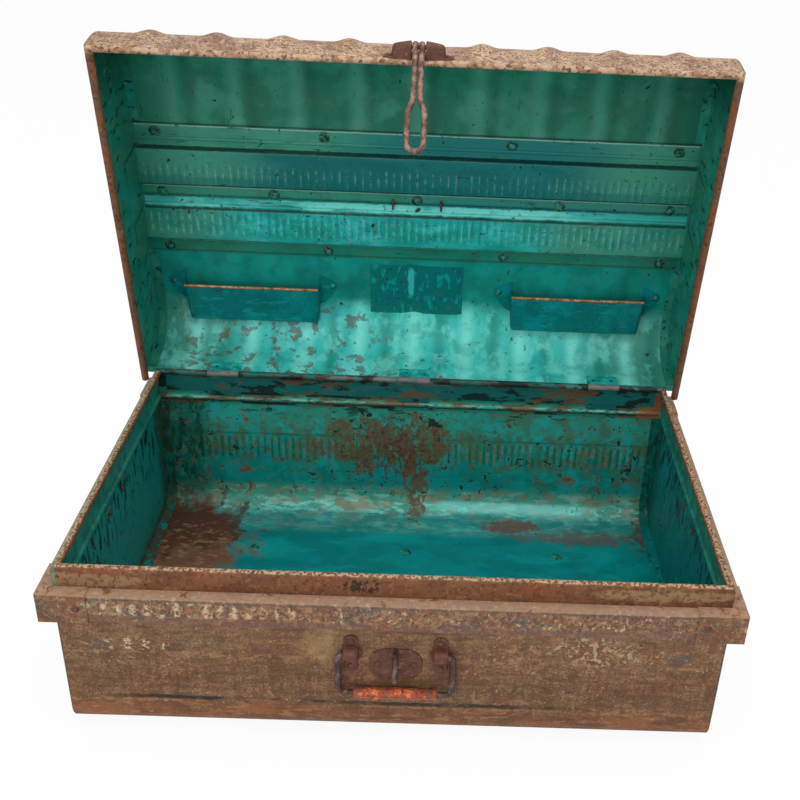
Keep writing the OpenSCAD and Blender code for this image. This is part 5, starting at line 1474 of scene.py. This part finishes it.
@dataclass
class Pocket:
    """A folded sheet pocket on the inside of the lid's rear shoulder."""

    name: str
    node: str
    side: int
    inner_x: float = 126.0
    length: float = 176.0
    lip_y: float = 128.0
    end_y: float = 182.0
    lip_z: float = 291.0
    foot_z: float = 308.6
    taper: float = 4.0
    corner: float = 5.0
    thickness: float = 1.0
    wire_radius: float = 1.8
    lid: LidSheet = field(default_factory=LidSheet)

    def ground(self, y: float) -> float:
        """Height of the lid's inner face over a place along Y."""
        lid = self.lid
        radius = lid.back_radius - lid.thickness
        past = max(0.0, y - lid.back_y + lid.back_radius)
        return lid.top_z - lid.back_radius + math.sqrt(max(0.0, radius ** 2 - past ** 2)) - 0.2

    def grid(self) -> np.ndarray:
        """The folded sheet: rows from the lip to the bottom, columns round cheek, front and cheek."""
        rows = []
        steps = 30
        for i in range(steps):
            t = i / (steps - 1)
            if t < 0.8:
                y, drop = self.lip_y + (self.end_y - 4 - self.lip_y) * t / 0.8, 1.0
            else:
                a = math.radians(90 * (t - 0.8) / 0.2)
                y, drop = self.end_y - 4 + 4 * math.sin(a), math.cos(a)
            ground = self.ground(y)
            top = ground + (self.lip_z - ground) * drop
            narrow = self.taper * (y - self.lip_y) / (self.end_y - self.lip_y)
            left, right = self.inner_x + narrow, self.inner_x + self.length - narrow
            foot = 1.5
            line = rounded([(left - foot, ground), (left, top), (right, top), (right + foot, ground)],
                           self.corner, 6)
            rows.append([(x, y, z) for x, z in spaced(line, 6.0)])
        count = min(len(r) for r in rows)
        fitted = []
        for row in rows:
            full = np.array(row)
            along = np.linspace(0, len(full) - 1, count)
            fitted.append(np.stack([np.interp(along, np.arange(len(full)), full[:, k]) for k in range(3)], axis=1))
        out = np.array(fitted)
        out[..., 2] += 0.35 * waves(out, 22, 4.4)
        out[..., 0] *= self.side
        return out if self.side > 0 else out[:, ::-1]

    def ear(self, which: int) -> np.ndarray:
        """One of the two ears that hold the lip's ends."""
        middle = self.inner_x + self.length / 2
        out = np.empty((8, 10, 3))
        for i in range(8):
            for j in range(10):
                u, v = j / 9, i / 7
                x = middle + which * (self.length / 2 - 1 + 23.5 * u)
                y = self.lip_y - 14 + 12 * u + (44 - 36 * u ** 1.5) * v
                out[i, j] = (self.side * x, y, self.foot_z - 0.2 - 1.2 * (1 - u) ** 3)
        flip = self.side * which > 0
        return out if flip else out[:, ::-1]

    def build(self, shop: Shop, finishes: Finishes) -> None:
        """Adds the pocket, its ears and its lip wire."""
        grid = self.grid()[:, ::-1]
        mesh = sheet_mesh(self.name, HINGE.opened(grid), self.thickness)
        smooth_mesh(mesh, 55)
        shop.piece(self.name, mesh, "lid", "inner_paint", [finishes.pocket, finishes.pocket], [self.node])
        for which, word in ((-1, "inner"), (1, "outer")):
            mesh = sheet_mesh("ear", HINGE.opened(self.ear(which)[:, ::-1]), self.thickness)
            smooth_mesh(mesh)
            shop.piece(f"{self.name}_{word}_ear", mesh, "lid", "inner_paint", [finishes.pocket, finishes.pocket])
        span = np.linspace(self.inner_x + 1, self.inner_x + self.length - 1, 30)
        lip = [(self.side * x, self.lip_y + 0.3 + 0.5 * noise.noise(Vector((x / 25, 1.5, 0))),
                self.lip_z + 0.5) for x in span]
        shop.wire(f"{self.name}_lip", HINGE.opened(np.array(lip)), self.wire_radius, "lid", "copper_wire",
                  finishes.copper, ["lip_wires"])


def arc_points(centre: Point, first: Point, second: Point, radius: float, start: float, end: float,
               steps: int) -> list[Point]:
    """Points of an arc.

    Args:
        centre: The arc's middle.
        first: Unit vector towards 0 degrees.
        second: Unit vector towards 90 degrees.
        radius: Its radius.
        start: First angle in degrees.
        end: Last angle in degrees.
        steps: Pieces of the arc.

    Returns:
        The points from start to end.
    """
    out = []
    for i in range(steps + 1):
        a = math.radians(start + (end - start) * i / steps)
        out.append(tuple(c + radius * (math.cos(a) * f + math.sin(a) * s)
                         for c, f, s in zip(centre, first, second)))
    return out


@dataclass(frozen=True)
class BailShape:
    """A swinging handle bent from wire, hanging straight down from its pivots."""

    half: float
    drop: float
    radius: float
    inward: float
    bend: float = 8.0

    def path(self) -> np.ndarray:
        """The wire's middle line in X and Z, the pivots on Z = 0."""
        knee = 3.0
        right = [(self.half - self.inward, 0, 0), (self.half - knee, 0, 0)]
        right += arc_points((self.half - knee, 0, -knee), (0, 0, 1), (1, 0, 0), knee, 15, 90, 5)
        right += [(self.half, 0, -knee - (self.drop - self.bend - knee) * i / 5) for i in range(1, 5)]
        right += arc_points((self.half - self.bend, 0, -self.drop + self.bend), (1, 0, 0), (0, 0, -1),
                            self.bend, 0, 90, 8)
        left = [(-x, y, z) for x, y, z in reversed(right)]
        return np.array(right + left)


def width_outline(width: Callable[[float], float], low: float, high: float, steps: int) -> list[tuple[float, float]]:
    """Closed outline of a plate whose half-width is given along its height.

    Args:
        width: Half-width at a height.
        low: Lowest height.
        high: Greatest height.
        steps: Pieces of each side.

    Returns:
        Points anticlockwise, starting at the bottom.
    """
    heights = [low + (high - low) * (1 - math.cos(math.pi * i / steps)) / 2 for i in range(1, steps)]
    right = [(width(v), v) for v in heights]
    left = [(-w, v) for w, v in reversed(right)]
    return [(0.0, low)] + right + [(0.0, high)] + left


def plate_mesh(name: str, outline: Sequence[tuple[float, float]], place: Callable[[float, float, float], Point],
               thickness: float, bevel: float = 0.5, dish: float = 0.0) -> Mesh:
    """A plate with softened edges.

    Args:
        name: The mesh's name.
        outline: Its outline, anticlockwise as seen from the front.
        place: Gives the place of a point of the outline at a height over the wall.
        thickness: Its thickness.
        bevel: Width of the softened edge.
        dish: How far the middle bulges out.

    Returns:
        The closed mesh.
    """
    ring = [Vector(p) for p in outline]
    count = len(ring)
    middle = sum(ring, Vector((0, 0))) / count
    tangents = [ring[(i + 1) % count] - ring[i - 1] for i in range(count)]
    normals = [Vector((t.y, -t.x)).normalized() for t in tangents]
    levels = [(0.0, 0.0), (0.0, thickness - bevel), (bevel * 0.3, thickness - bevel * 0.3), (bevel, thickness)]
    points = [place(*(p - n * inset), height) for inset, height in levels for p, n in zip(ring, normals)]
    faces = []
    for level in range(len(levels) - 1):
        for i in range(count):
            j = (i + 1) % count
            a, b = level * count, (level + 1) * count
            faces.append((a + i, a + j, b + j, b + i))
    last = (len(levels) - 1) * count
    for share in (0.75, 0.5, 0.25):
        for p, n in zip(ring, normals):
            inner = middle + (p - n * bevel - middle) * share
            points.append(place(*inner, thickness + dish * (1 - share ** 2)))
        start = len(points) - count
        faces += [(last + i, last + (i + 1) % count, start + (i + 1) % count, start + i) for i in range(count)]
        last = start
    points.append(place(*middle, thickness + dish))
    faces += [(last + i, last + (i + 1) % count, len(points) - 1) for i in range(count)]
    points.append(place(*middle, 0.0))
    faces += [((i + 1) % count, i, len(points) - 1) for i in range(count)]
    mesh = plain_mesh(name, np.array(points), faces)
    smooth_mesh(mesh, 60)
    return mesh


@dataclass
class FrontFurniture:
    """Staple, its plate, and the front handle with its two eye plates and its grip."""

    wall_y: float = -211.3
    lock_x: float = 2.0
    staple_z: float = 109.0
    staple_out: float = 25.0
    staple_bend: float = 12.0
    staple_radius: float = 3.0
    plate_z: float = 103.5
    plate_thick: float = 1.5
    bail_z: float = 119.0
    bail_out: float = 7.2
    eye_x: float = 45.0
    saddle_up: float = 3.0
    eye_rivet_z: float = 16.0
    staple_rivet_x: float = 18.0
    rivet_radius: float = 4.0
    rivet_height: float = 2.0
    bail: BailShape = BailShape(half=57.4, drop=49.0, radius=3.2, inward=18.4)
    grip_length: float = 84.0

    def wall_place(self, x: float, z: float) -> Callable[[float, float, float], Point]:
        """Places points of a plate on the front wall."""
        return lambda u, v, h: (x + u, self.wall_y - 0.05 - h, z + v)

    @staticmethod
    def oval_width(v: float) -> float:
        """Half-width of the staple plate."""
        return min(27.0, 8 + math.sqrt(max(0.0, 400 - v * v)))

    @staticmethod
    def eye_width(v: float) -> float:
        """Half-width of an eye plate: a round middle with a lobe above and below."""
        middle = math.sqrt(max(0.0, 121 - v * v))
        lobe = math.sqrt(max(0.0, 56.25 - (abs(v) - 16) ** 2))
        return max(middle, lobe, 6.5 if abs(v) < 16 else 0.0)

    def saddle(self, x: float) -> Mesh:
        """The hump pressed over the end of the bail."""
        high, half_z, half_x = self.bail_out + 4.4, 8.6, 8.4
        rows = []
        for i in range(17):
            v = -1 + 2 * i / 16
            row = []
            for j in range(15):
                u = -1 + 2 * j / 14
                rise = (1 - abs(v) ** 2.4) ** 0.55 * (1 - abs(u) ** 8) ** 0.5
                row.append((x + u * half_x, self.wall_y - 0.3 - high * rise, self.bail_z + v * half_z))
            rows.append(row)
        return sheet_mesh("saddle", np.array(rows), 1.2)

    def grip_mesh(self) -> Mesh:
        """The turned grip: thicker between two shoulders, thinner towards its ends."""
        half = self.grip_length / 2
        profile = [(-half, 3.3), (-half, 4.8), (-half + 1, 5.2), (-24, 5.5), (-22.5, 6.3), (-20, 6.4), (-14, 5.9),
                   (-6, 6.1), (0, 6.3), (6, 6.1), (14, 5.9), (20, 6.4), (22.5, 6.3), (24, 5.5), (half - 1, 5.2),
                   (half, 4.8), (half, 3.3)]
        sides = 28
        z = self.bail_z - self.bail.drop
        y = self.wall_y - self.bail_out
        points = []
        for x, r in profile:
            for i in range(sides):
                a = 2 * math.pi * i / sides
                dent = 0.25 * noise.noise(Vector((x / 9, math.cos(a), math.sin(a))))
                size = min(r + dent * (r > 4), 6.4)
                points.append((self.lock_x + x, y + size * math.cos(a), z + size * math.sin(a)))
        faces = [(i * sides + j, i * sides + (j + 1) % sides, (i + 1) * sides + (j + 1) % sides, (i + 1) * sides + j)
                 for i in range(len(profile) - 1) for j in range(sides)]
        last = (len(profile) - 1) * sides
        faces += [(last + j, last + (j + 1) % sides, (j + 1) % sides, j) for j in range(sides)]
        mesh = plain_mesh("front_grip", np.array(points), [f[::-1] for f in faces])
        smooth_mesh(mesh, 45)
        return mesh

    def staple_path(self) -> np.ndarray:
        """Two legs and a half ring."""
        bend = self.wall_y - self.staple_out + self.staple_bend
        top, low = self.staple_z + self.staple_bend, self.staple_z - self.staple_bend
        ring = arc_points((self.lock_x, bend, self.staple_z), (0, 0, 1), (0, -1, 0), self.staple_bend, 0, 180, 16)
        return np.array([(self.lock_x, self.wall_y + 1.6, top), (self.lock_x, self.wall_y - 5, top)] + ring
                        + [(self.lock_x, self.wall_y - 5, low), (self.lock_x, self.wall_y + 1.6, low)])

    def build(self, shop: Shop, finishes: Finishes) -> None:
        """Adds every piece on the front wall."""
        mesh = plate_mesh("staple_plate", width_outline(self.oval_width, -20, 20, 24),
                          self.wall_place(self.lock_x, self.plate_z), self.plate_thick, 0.6)
        shop.piece("staple_plate_dressed", mesh, "body", "plate_brown", [finishes.enamel], ["staple_plate"])
        shop.wire("staple_wire", self.staple_path(), self.staple_radius, "body", "iron", finishes.iron, ["staple"])
        for side, word in SIDES:
            x = self.lock_x + side * self.eye_x
            mesh = plate_mesh("eye_plate", width_outline(self.eye_width, -23.5, 23.5, 28),
                              self.wall_place(x, self.bail_z - self.saddle_up), self.plate_thick, 0.6)
            shop.piece(f"{word}_eye_plate_dressed", mesh, "body", "plate_brown", [finishes.enamel],
                       [f"{word}_eye_plate"])
            mesh = self.saddle(x)
            smooth_mesh(mesh, 60)
            shop.piece(f"{word}_saddle", mesh, "body", "plate_brown", [finishes.enamel, finishes.enamel])
        self.build_rivets(shop, finishes)
        self.build_handle(shop, finishes)

    def build_rivets(self, shop: Shop, finishes: Finishes) -> None:
        """Adds the rivets of the three plates."""
        y = self.wall_y - 0.1 - self.plate_thick
        staple = [(self.lock_x + s * self.staple_rivet_x, y, self.plate_z) for s in (-1, 1)]
        eyes = [(self.lock_x + s * self.eye_x, y, self.bail_z - self.saddle_up + t * self.eye_rivet_z)
                for s in (-1, 1) for t in (-1, 1)]
        for name, places, node in (("staple_rivet_heads", staple, "staple_rivets"),
                                   ("eye_rivet_heads", eyes, "eye_plate_rivets")):
            shop.heads(name, np.array(places), np.tile((0, -1, 0), (len(places), 1)), self.rivet_radius,
                       self.rivet_height, "body", "plate_brown", finishes.enamel, [node])

    def build_handle(self, shop: Shop, finishes: Finishes) -> None:
        """Adds the bail and its grip."""
        pivot = np.array((self.lock_x, self.wall_y - self.bail_out, self.bail_z))
        shop.wire("front_bail_wire", self.bail.path() + pivot, self.bail.radius, "front_handle", "iron",
                  finishes.iron, ["front_bail"])
        shop.piece("front_grip_turned", self.grip_mesh(), "front_handle", "grip_red", [finishes.grip],
                   ["front_grip"])


@dataclass
class Hasp:
    """The hairpin hasp and its plate on the lid's front skirt."""

    lock_x: float = 2.0
    pin_y: float = -234.5
    pin_z: float = 196.6
    rest: float = 32.0
    bend: float = 9.6
    radius: float = 3.0
    stem: float = 44.0
    length: float = 117.5
    stem_x: float = 3.4
    eye_x: float = 8.6
    flare_top: float = 19.0
    flare_run: float = 12.0
    loop_radius: float = 3.4
    skirt_y: float = -224.0
    plate_thick: float = 1.5
    notch: float = 7.5
    rivet_x: float = 31.5

    def placed(self, points: np.ndarray) -> np.ndarray:
        """Moves points drawn on a hanging hasp to where it rests on the open lid."""
        turn = math.radians(self.rest)
        out = np.array(points, dtype=float)
        y, z = out[..., 1].copy(), out[..., 2].copy()
        out[..., 0] += self.lock_x
        out[..., 1] = self.pin_y + y * math.cos(turn) - z * math.sin(turn)
        out[..., 2] = self.pin_z + y * math.sin(turn) + z * math.cos(turn)
        return HINGE.opened(out)

    def path(self) -> np.ndarray:
        """One wire: up one stem, round the eye and back."""
        lean = math.radians(self.bend)
        eye_length = self.length - self.stem

        def tilted(x: float, z: float) -> Point:
            """A point of the eye, which leans in below the stem."""
            return (x, -z * math.sin(lean), -self.stem + z * math.cos(lean))
        side = [(self.stem_x, 0.0, -1.0), (self.stem_x, 0.0, -14.0), (self.stem_x, 0.0, -29.0),
                (self.stem_x, 0.0, -self.stem + 4)]
        side += [tilted(self.stem_x, -4), tilted(self.stem_x, -self.flare_top + 3)]
        side += [tilted(self.stem_x + 0.6, -self.flare_top), tilted(self.stem_x + 1.6, -self.flare_top - 3),
                 tilted(self.eye_x - 1.2, -self.flare_top - self.flare_run + 3),
                 tilted(self.eye_x - 0.3, -self.flare_top - self.flare_run),
                 tilted(self.eye_x, -self.flare_top - self.flare_run - 4)]
        side += [tilted(self.eye_x, -eye_length + self.eye_x + 8)]
        ring = [tilted(self.eye_x * math.cos(math.radians(a)), -eye_length + self.eye_x
                       - self.eye_x * math.sin(math.radians(a))) for a in range(0, 181, 12)]
        back = [(-x, y, z) for x, y, z in reversed(side)]
        return np.array(side + ring + back)

    def loop(self, x: float) -> np.ndarray:
        """Middle line of the loop round the pin."""
        return np.array(arc_points((x, 0, 0), (0, 1, 0), (0, 0, 1), self.loop_radius, 0, 345, 23))

    def wing_height(self, u: float) -> float:
        """Half-height of the batwing plate at a place along its length."""
        line = ((0, 14), (12, 14), (30, 7), (37, 3))
        for (a, high), (b, low) in zip(line, line[1:]):
            if abs(u) <= b:
                return high + (low - high) * (abs(u) - a) / (b - a)
        return 3.0

    def plate_outline(self) -> list[tuple[float, float]]:
        """The batwing plate: rising to a flat middle, notched for the loops below."""
        us = [37 * math.sin(math.pi / 2 * i / 14) for i in range(-14, 15)]
        top = [(u, self.wing_height(u)) for u in reversed(us)]
        low = [(u, -3 - 3 * min(1.0, (37 - abs(u)) / 7) if abs(u) > self.notch else -1.5) for u in us]
        return low + top

    def build(self, shop: Shop, finishes: Finishes) -> None:
        """Adds the plate, its two half tubes, the pin and the hasp."""
        def place(u: float, v: float, h: float) -> Point:
            """A point of the plate on the skirt of the open lid."""
            spot = np.array((self.lock_x + u, self.skirt_y - 0.05 - h, self.pin_z + v))
            return tuple(HINGE.opened(spot))
        mesh = plate_mesh("hasp_plate", self.plate_outline(), place, self.plate_thick, 0.5)
        shop.piece("batwing_plate", mesh, "lid", "plate_brown", [finishes.enamel], ["hasp_plate"])
        for side, word in SIDES:
            shop.piece(f"{word}_half_tube", self.tube(side), "lid", "plate_brown",
                       [finishes.enamel, finishes.enamel])
        places = np.array([(self.lock_x + s * self.rivet_x, self.skirt_y - 0.1 - self.plate_thick, self.pin_z)
                           for s in (-1, 1)])
        tip = HINGE.opened(places + np.array((0, -1, 0)))
        places = HINGE.opened(places)
        shop.heads("hasp_rivet_heads", places, tip - places, 3.0, 1.4, "lid", "plate_brown", finishes.enamel,
                   ["hasp_rivets"])
        pin = np.array([(-26, 0, 0), (-24, 0, 0), (24, 0, 0), (26, 0, 0)], dtype=float)
        shop.wire("hasp_pin_wire", self.placed(pin), 2.2, "lid", "iron", finishes.iron, ["hasp_pin"])
        shop.wire("hasp_hairpin", self.placed(self.path()), self.radius, "hasp", "hasp_iron", finishes.hasp,
                  ["hasp"])
        for side, word in SIDES:
            shop.wire(f"hasp_{word}_loop", self.placed(self.loop(side * (self.stem_x + 0.15))), self.radius,
                      "hasp", "hasp_iron", finishes.hasp, closed=True)

    def tube(self, side: int) -> Mesh:
        """A half tube of the plate, bent over the pin: wide at the loops and closed at its outer end."""
        far = self.skirt_y - self.pin_y
        stations = [(7.5, 6.0, 1.0), (8.3, 6.4, 1.0), (12, 5.9, 1.0), (16, 5.3, 1.0), (20, 4.7, 0.99), (24, 4.1, 0.97),
                    (26.2, 3.7, 0.93), (27.6, 3.2, 0.78), (28.3, 2.4, 0.4), (28.5, 1.6, 0.06)]
        angles = range(-80, 81, 16)
        grid = np.empty((len(angles) + 4, len(stations), 3))
        for j, (x, r, rise) in enumerate(stations):
            flank = [(0.3, r + 1.6), (far * 0.5, r + 0.4)]
            section = [(out, -up) for out, up in flank]
            section += [(far + r * math.cos(math.radians(a)), r * math.sin(math.radians(a))) for a in angles]
            section += flank[::-1]
            for i, (out, up) in enumerate(section):
                grid[i, j] = (self.lock_x + side * x, self.skirt_y - out * rise - 0.2, self.pin_z + up)
        mesh = sheet_mesh("half_tube", HINGE.opened(grid if side > 0 else grid[:, ::-1]), 1.0)
        smooth_mesh(mesh, 50)
        return mesh


@dataclass
class EndHandle:
    """The bail on an end wall."""

    side: int
    wall_x: float = 331.3
    out: float = 7.2
    height: float = 146.0

    def build(self, shop: Shop, finishes: Finishes) -> None:
        """Adds the bail."""
        word = "left" if self.side < 0 else "right"
        path = BailShape(half=56.0, drop=44.0, radius=3.2, inward=16.0).path()
        turned = np.stack([np.full(len(path), self.side * (self.wall_x + self.out)), path[:, 0],
                           path[:, 2] + self.height], axis=1)
        shop.wire(f"{word}_end_bail_wire", turned, 3.2, f"{word}_handle", "iron", finishes.iron, [f"{word}_bail"])


@dataclass
class RivetRows:
    """The rivets and washers of lid and floor."""

    lid_in: float = 309.0
    seam: float = 0.3
    sheet: float = 1.0
    row_y: float = 78.0
    head_radius: float = 4.0
    head_height: float = 2.0
    washer_radius: float = 7.5
    washer_height: float = 1.1
    outer_row: tuple[float, ...] = (-316, -113, 113, 316)
    middle_row: tuple[float, ...] = (-316, -178, 0, 178, 316)
    runner_pitch: float = 197.0
    runner_y: float = 107.0
    floor_top: float = 6.0

    def lid_places(self) -> np.ndarray:
        """Where washers lie under the battens of the shut lid."""
        outer_z = self.lid_in - self.seam - self.sheet
        middle_z = outer_z - self.seam - self.sheet
        outer = [(x, s * self.row_y, outer_z) for x in self.outer_row for s in (-1, 1)]
        return np.array(outer + [(x, 0, middle_z) for x in self.middle_row], dtype=float)

    def build(self, shop: Shop, finishes: Finishes) -> None:
        """Adds the rows on the lid and on the floor."""
        places = self.lid_places()
        down = np.array((0, 0, -1.0))
        facing = HINGE.opened(places + down) - HINGE.opened(places)
        shop.heads("batten_washer_rings", HINGE.opened(places), facing, self.washer_radius, self.washer_height,
                   "lid", "rivet_paint", finishes.lid_washer, ["batten_washers"])
        shop.heads("batten_rivet_heads", HINGE.opened(places + down * self.washer_height * 0.9), facing,
                   self.head_radius, self.head_height, "lid", "rivet_paint", finishes.lid_rivet,
                   ["batten_rivets"])
        floor = np.array([(i * self.runner_pitch, s * self.runner_y, self.floor_top) for s in (-1, 1)
                          for i in (-1, 0, 1)], dtype=float)
        up = np.tile((0, 0, 1.0), (len(floor), 1))
        shop.heads("floor_washer_rings", floor, up, self.washer_radius, self.washer_height, "body",
                   "rivet_paint", finishes.floor_rivet, ["runner_washers"])
        shop.heads("floor_rivet_heads", floor + up * self.washer_height * 0.9, up, self.head_radius,
                   self.head_height, "body", "rivet_paint", finishes.floor_rivet, ["runner_rivets"])


class KeptPieces:
    """Materials for the CAD pieces whose shape is right."""

    def __init__(self, finishes: Finishes) -> None:
        """Sorts the pieces by finish."""
        self.table = {
            finishes.body_end: ("left_end_panel", "right_end_panel", "right_repair_strip", "front_runner",
                                "rear_runner"),
            finishes.rim: ("front_rim", "left_rim", "right_rim"),
            finishes.back_rim: ("back_rim",),
            finishes.hinge: ("hinge_sleeve", "hinge_tabs"),
            finishes.strap: ("hinge_straps",),
            finishes.iron: ("hinge_wire", "split_pins", "top_bail"),
            finishes.ledge: ("front_band", "back_band", "left_band", "right_band"),
            finishes.corner: ("front_left_corner", "front_right_corner", "back_left_corner", "back_right_corner"),
            finishes.enamel: ("corner_rivets", "left_handle_plate", "right_handle_plate", "left_handle_rivets",
                              "right_handle_rivets"),
            finishes.floor_rivet: ("repair_rivets",),
            finishes.lid_rivet: ("strap_rivets", "pocket_rivets"),
            finishes.lid_end: ("lid_left_end", "lid_right_end"),
            finishes.lid_rim: ("lid_edge_bead",),
        }

    def dress(self) -> None:
        """Gives each piece its material."""
        for material, names in self.table.items():
            for name in names:
                mesh = frame["nodes"][name].data
                mesh.materials.clear()
                mesh.materials.append(material)
                log.info("%s: %s", name, material.name)


@dataclass
class Studio:
    """Camera, floor, lamps and the pale background."""

    eye: Point = (35.05, -1047.82, 865.27)
    turn: float = 0.024
    tip: float = 0.510
    roll: float = 0.048
    focal_pixels: float = 1092.91
    frame_pixels: float = 800.0
    middle_pixels: tuple[float, float] = (460.61, 411.45)
    sensor: float = 36.0
    fill_light: float = 0.8
    floor_reach: float = 9000.0
    floor_z: float = -0.3
    floor_glow: float = 0.93

    def camera(self) -> None:
        """Sets the camera where the photograph was taken from."""
        data = bpy.data.cameras.new("camera")
        data.sensor_width = self.sensor
        data.lens = self.focal_pixels / self.frame_pixels * self.sensor
        data.shift_x = -(self.middle_pixels[0] - self.frame_pixels / 2) / self.frame_pixels
        data.shift_y = (self.middle_pixels[1] - self.frame_pixels / 2) / self.frame_pixels
        data.clip_start, data.clip_end = 0.05, 50
        ahead = Vector((math.sin(self.turn) * math.cos(self.tip), math.cos(self.turn) * math.cos(self.tip),
                        -math.sin(self.tip)))
        level = ahead.cross(Vector((0, 0, 1))).normalized()
        above = level.cross(ahead)
        right = level * math.cos(self.roll) + above * math.sin(self.roll)
        up = above * math.cos(self.roll) - level * math.sin(self.roll)
        camera = bpy.data.objects.new("camera", data)
        camera.matrix_world = Matrix((right, up, -ahead)).transposed().to_4x4()
        camera.location = Vector(self.eye) * MM
        bpy.context.scene.collection.objects.link(camera)
        bpy.context.scene.camera = camera

    @staticmethod
    def pale_for_camera(graph: Graph, white: Socket, plain: Socket) -> Socket:
        """Shows the white shader to camera, glossy and transmitted rays, the plain one to the rest."""
        path = graph.node("ShaderNodeLightPath", {})
        seen = graph.math("MAXIMUM", path.outputs["Is Camera Ray"], path.outputs["Is Glossy Ray"])
        seen = graph.math("MAXIMUM", seen, path.outputs["Is Transmission Ray"])
        return graph.node("ShaderNodeMixShader", {0: seen, 1: plain, 2: white}).outputs[0]

    def world(self) -> None:
        """A white background that lights the trunk softly."""
        graph = Graph("unused")
        world = bpy.data.worlds.new("studio")
        world.use_nodes = True
        bpy.data.materials.remove(graph.material)
        graph.tree = world.node_tree
        graph.tree.nodes.clear()
        white = graph.node("ShaderNodeBackground", {"Color": (1, 1, 1, 1), "Strength": 1.0}).outputs[0]
        plain = graph.node("ShaderNodeBackground", {"Color": (1, 1, 1, 1), "Strength": self.fill_light}).outputs[0]
        graph.node("ShaderNodeOutputWorld", {"Surface": self.pale_for_camera(graph, white, plain)})
        bpy.context.scene.world = world

    def floor(self) -> None:
        """A wide pale floor that keeps a soft shadow."""
        graph = Graph("studio_floor")
        diffuse = graph.node("ShaderNodeBsdfDiffuse", {"Color": (0.9, 0.9, 0.9, 1)}).outputs[0]
        glow = graph.node("ShaderNodeEmission", {"Color": (1, 1, 1, 1), "Strength": 1.0}).outputs[0]
        lifted = graph.node("ShaderNodeMixShader", {0: self.floor_glow, 1: diffuse, 2: glow}).outputs[0]
        graph.node("ShaderNodeOutputMaterial", {"Surface": self.pale_for_camera(graph, lifted, diffuse)})
        corners = [(u * self.floor_reach, v * self.floor_reach, self.floor_z)
                   for u, v in ((-1, -1), (1, -1), (1, 1), (-1, 1))]
        mesh = plain_mesh("studio_floor", np.array(corners), [(0, 1, 2, 3)])
        mesh.materials.append(graph.material)
        floor = bpy.data.objects.new("studio_floor", mesh)
        bpy.context.scene.collection.objects.link(floor)

    @staticmethod
    def lamp(name: str, place: Point, aim: Point, size: float, power: float) -> None:
        """Adds a square soft lamp; place and aim in metres."""
        data = bpy.data.lights.new(name, "AREA")
        data.size = size
        data.energy = power
        lamp = bpy.data.objects.new(name, data)
        lamp.location = place
        lamp.rotation_mode = "QUATERNION"
        lamp.rotation_quaternion = (Vector(aim) - Vector(place)).to_track_quat("-Z", "Y")
        bpy.context.scene.collection.objects.link(lamp)

    def build(self) -> None:
        """Sets up the studio."""
        self.camera()
        self.world()
        self.floor()
        self.lamp("top_lamp", (0.1, -0.35, 2.1), (0, 0.05, 0.2), 1.6, 18)
        self.lamp("front_lamp", (-0.9, -2.2, 1.3), (0, 0, 0.2), 1.4, 14)
        bpy.context.scene.view_settings.view_transform = "Standard"


def main() -> None:
    """Builds the trunk piece by piece."""
    logging.basicConfig(level=logging.INFO, format="%(message)s")
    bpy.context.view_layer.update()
    Studio().build()
    finishes = Finishes()
    shop = Shop(Rows())
    KeptPieces(finishes).dress()
    BodySheet().build(shop, finishes)
    LidSheet().build(shop, finishes)
    Batten("front_batten", "lid_front_batten",
           ((-87, 308.7), (-60, 308.7), (-58, 301), (-12, 301), (-10, 308.7), (8, 308.7)), -70.0,
           (-260, 287, -41, -13), (-58, -12, -57, -28)).build(shop, finishes)
    Batten("rear_batten", "lid_rear_batten",
           ((-9, 307.4), (19, 307.4), (21, 301), (64, 301), (66, 308.7), (87, 308.7)), 14.0,
           (-222, 286, 26, 56), (22, 64, 25, 53)).build(shop, finishes)
    Pocket("left_pocket_sheet", "left_pocket", -1).build(shop, finishes)
    Pocket("right_pocket_sheet", "right_pocket", 1).build(shop, finishes)
    FrontFurniture().build(shop, finishes)
    Hasp().build(shop, finishes)
    for side in (-1, 1):
        EndHandle(side).build(shop, finishes)
    RivetRows().build(shop, finishes)
    log.info("%d pieces made", shop.made)


if __name__ == "__main__":
    main()
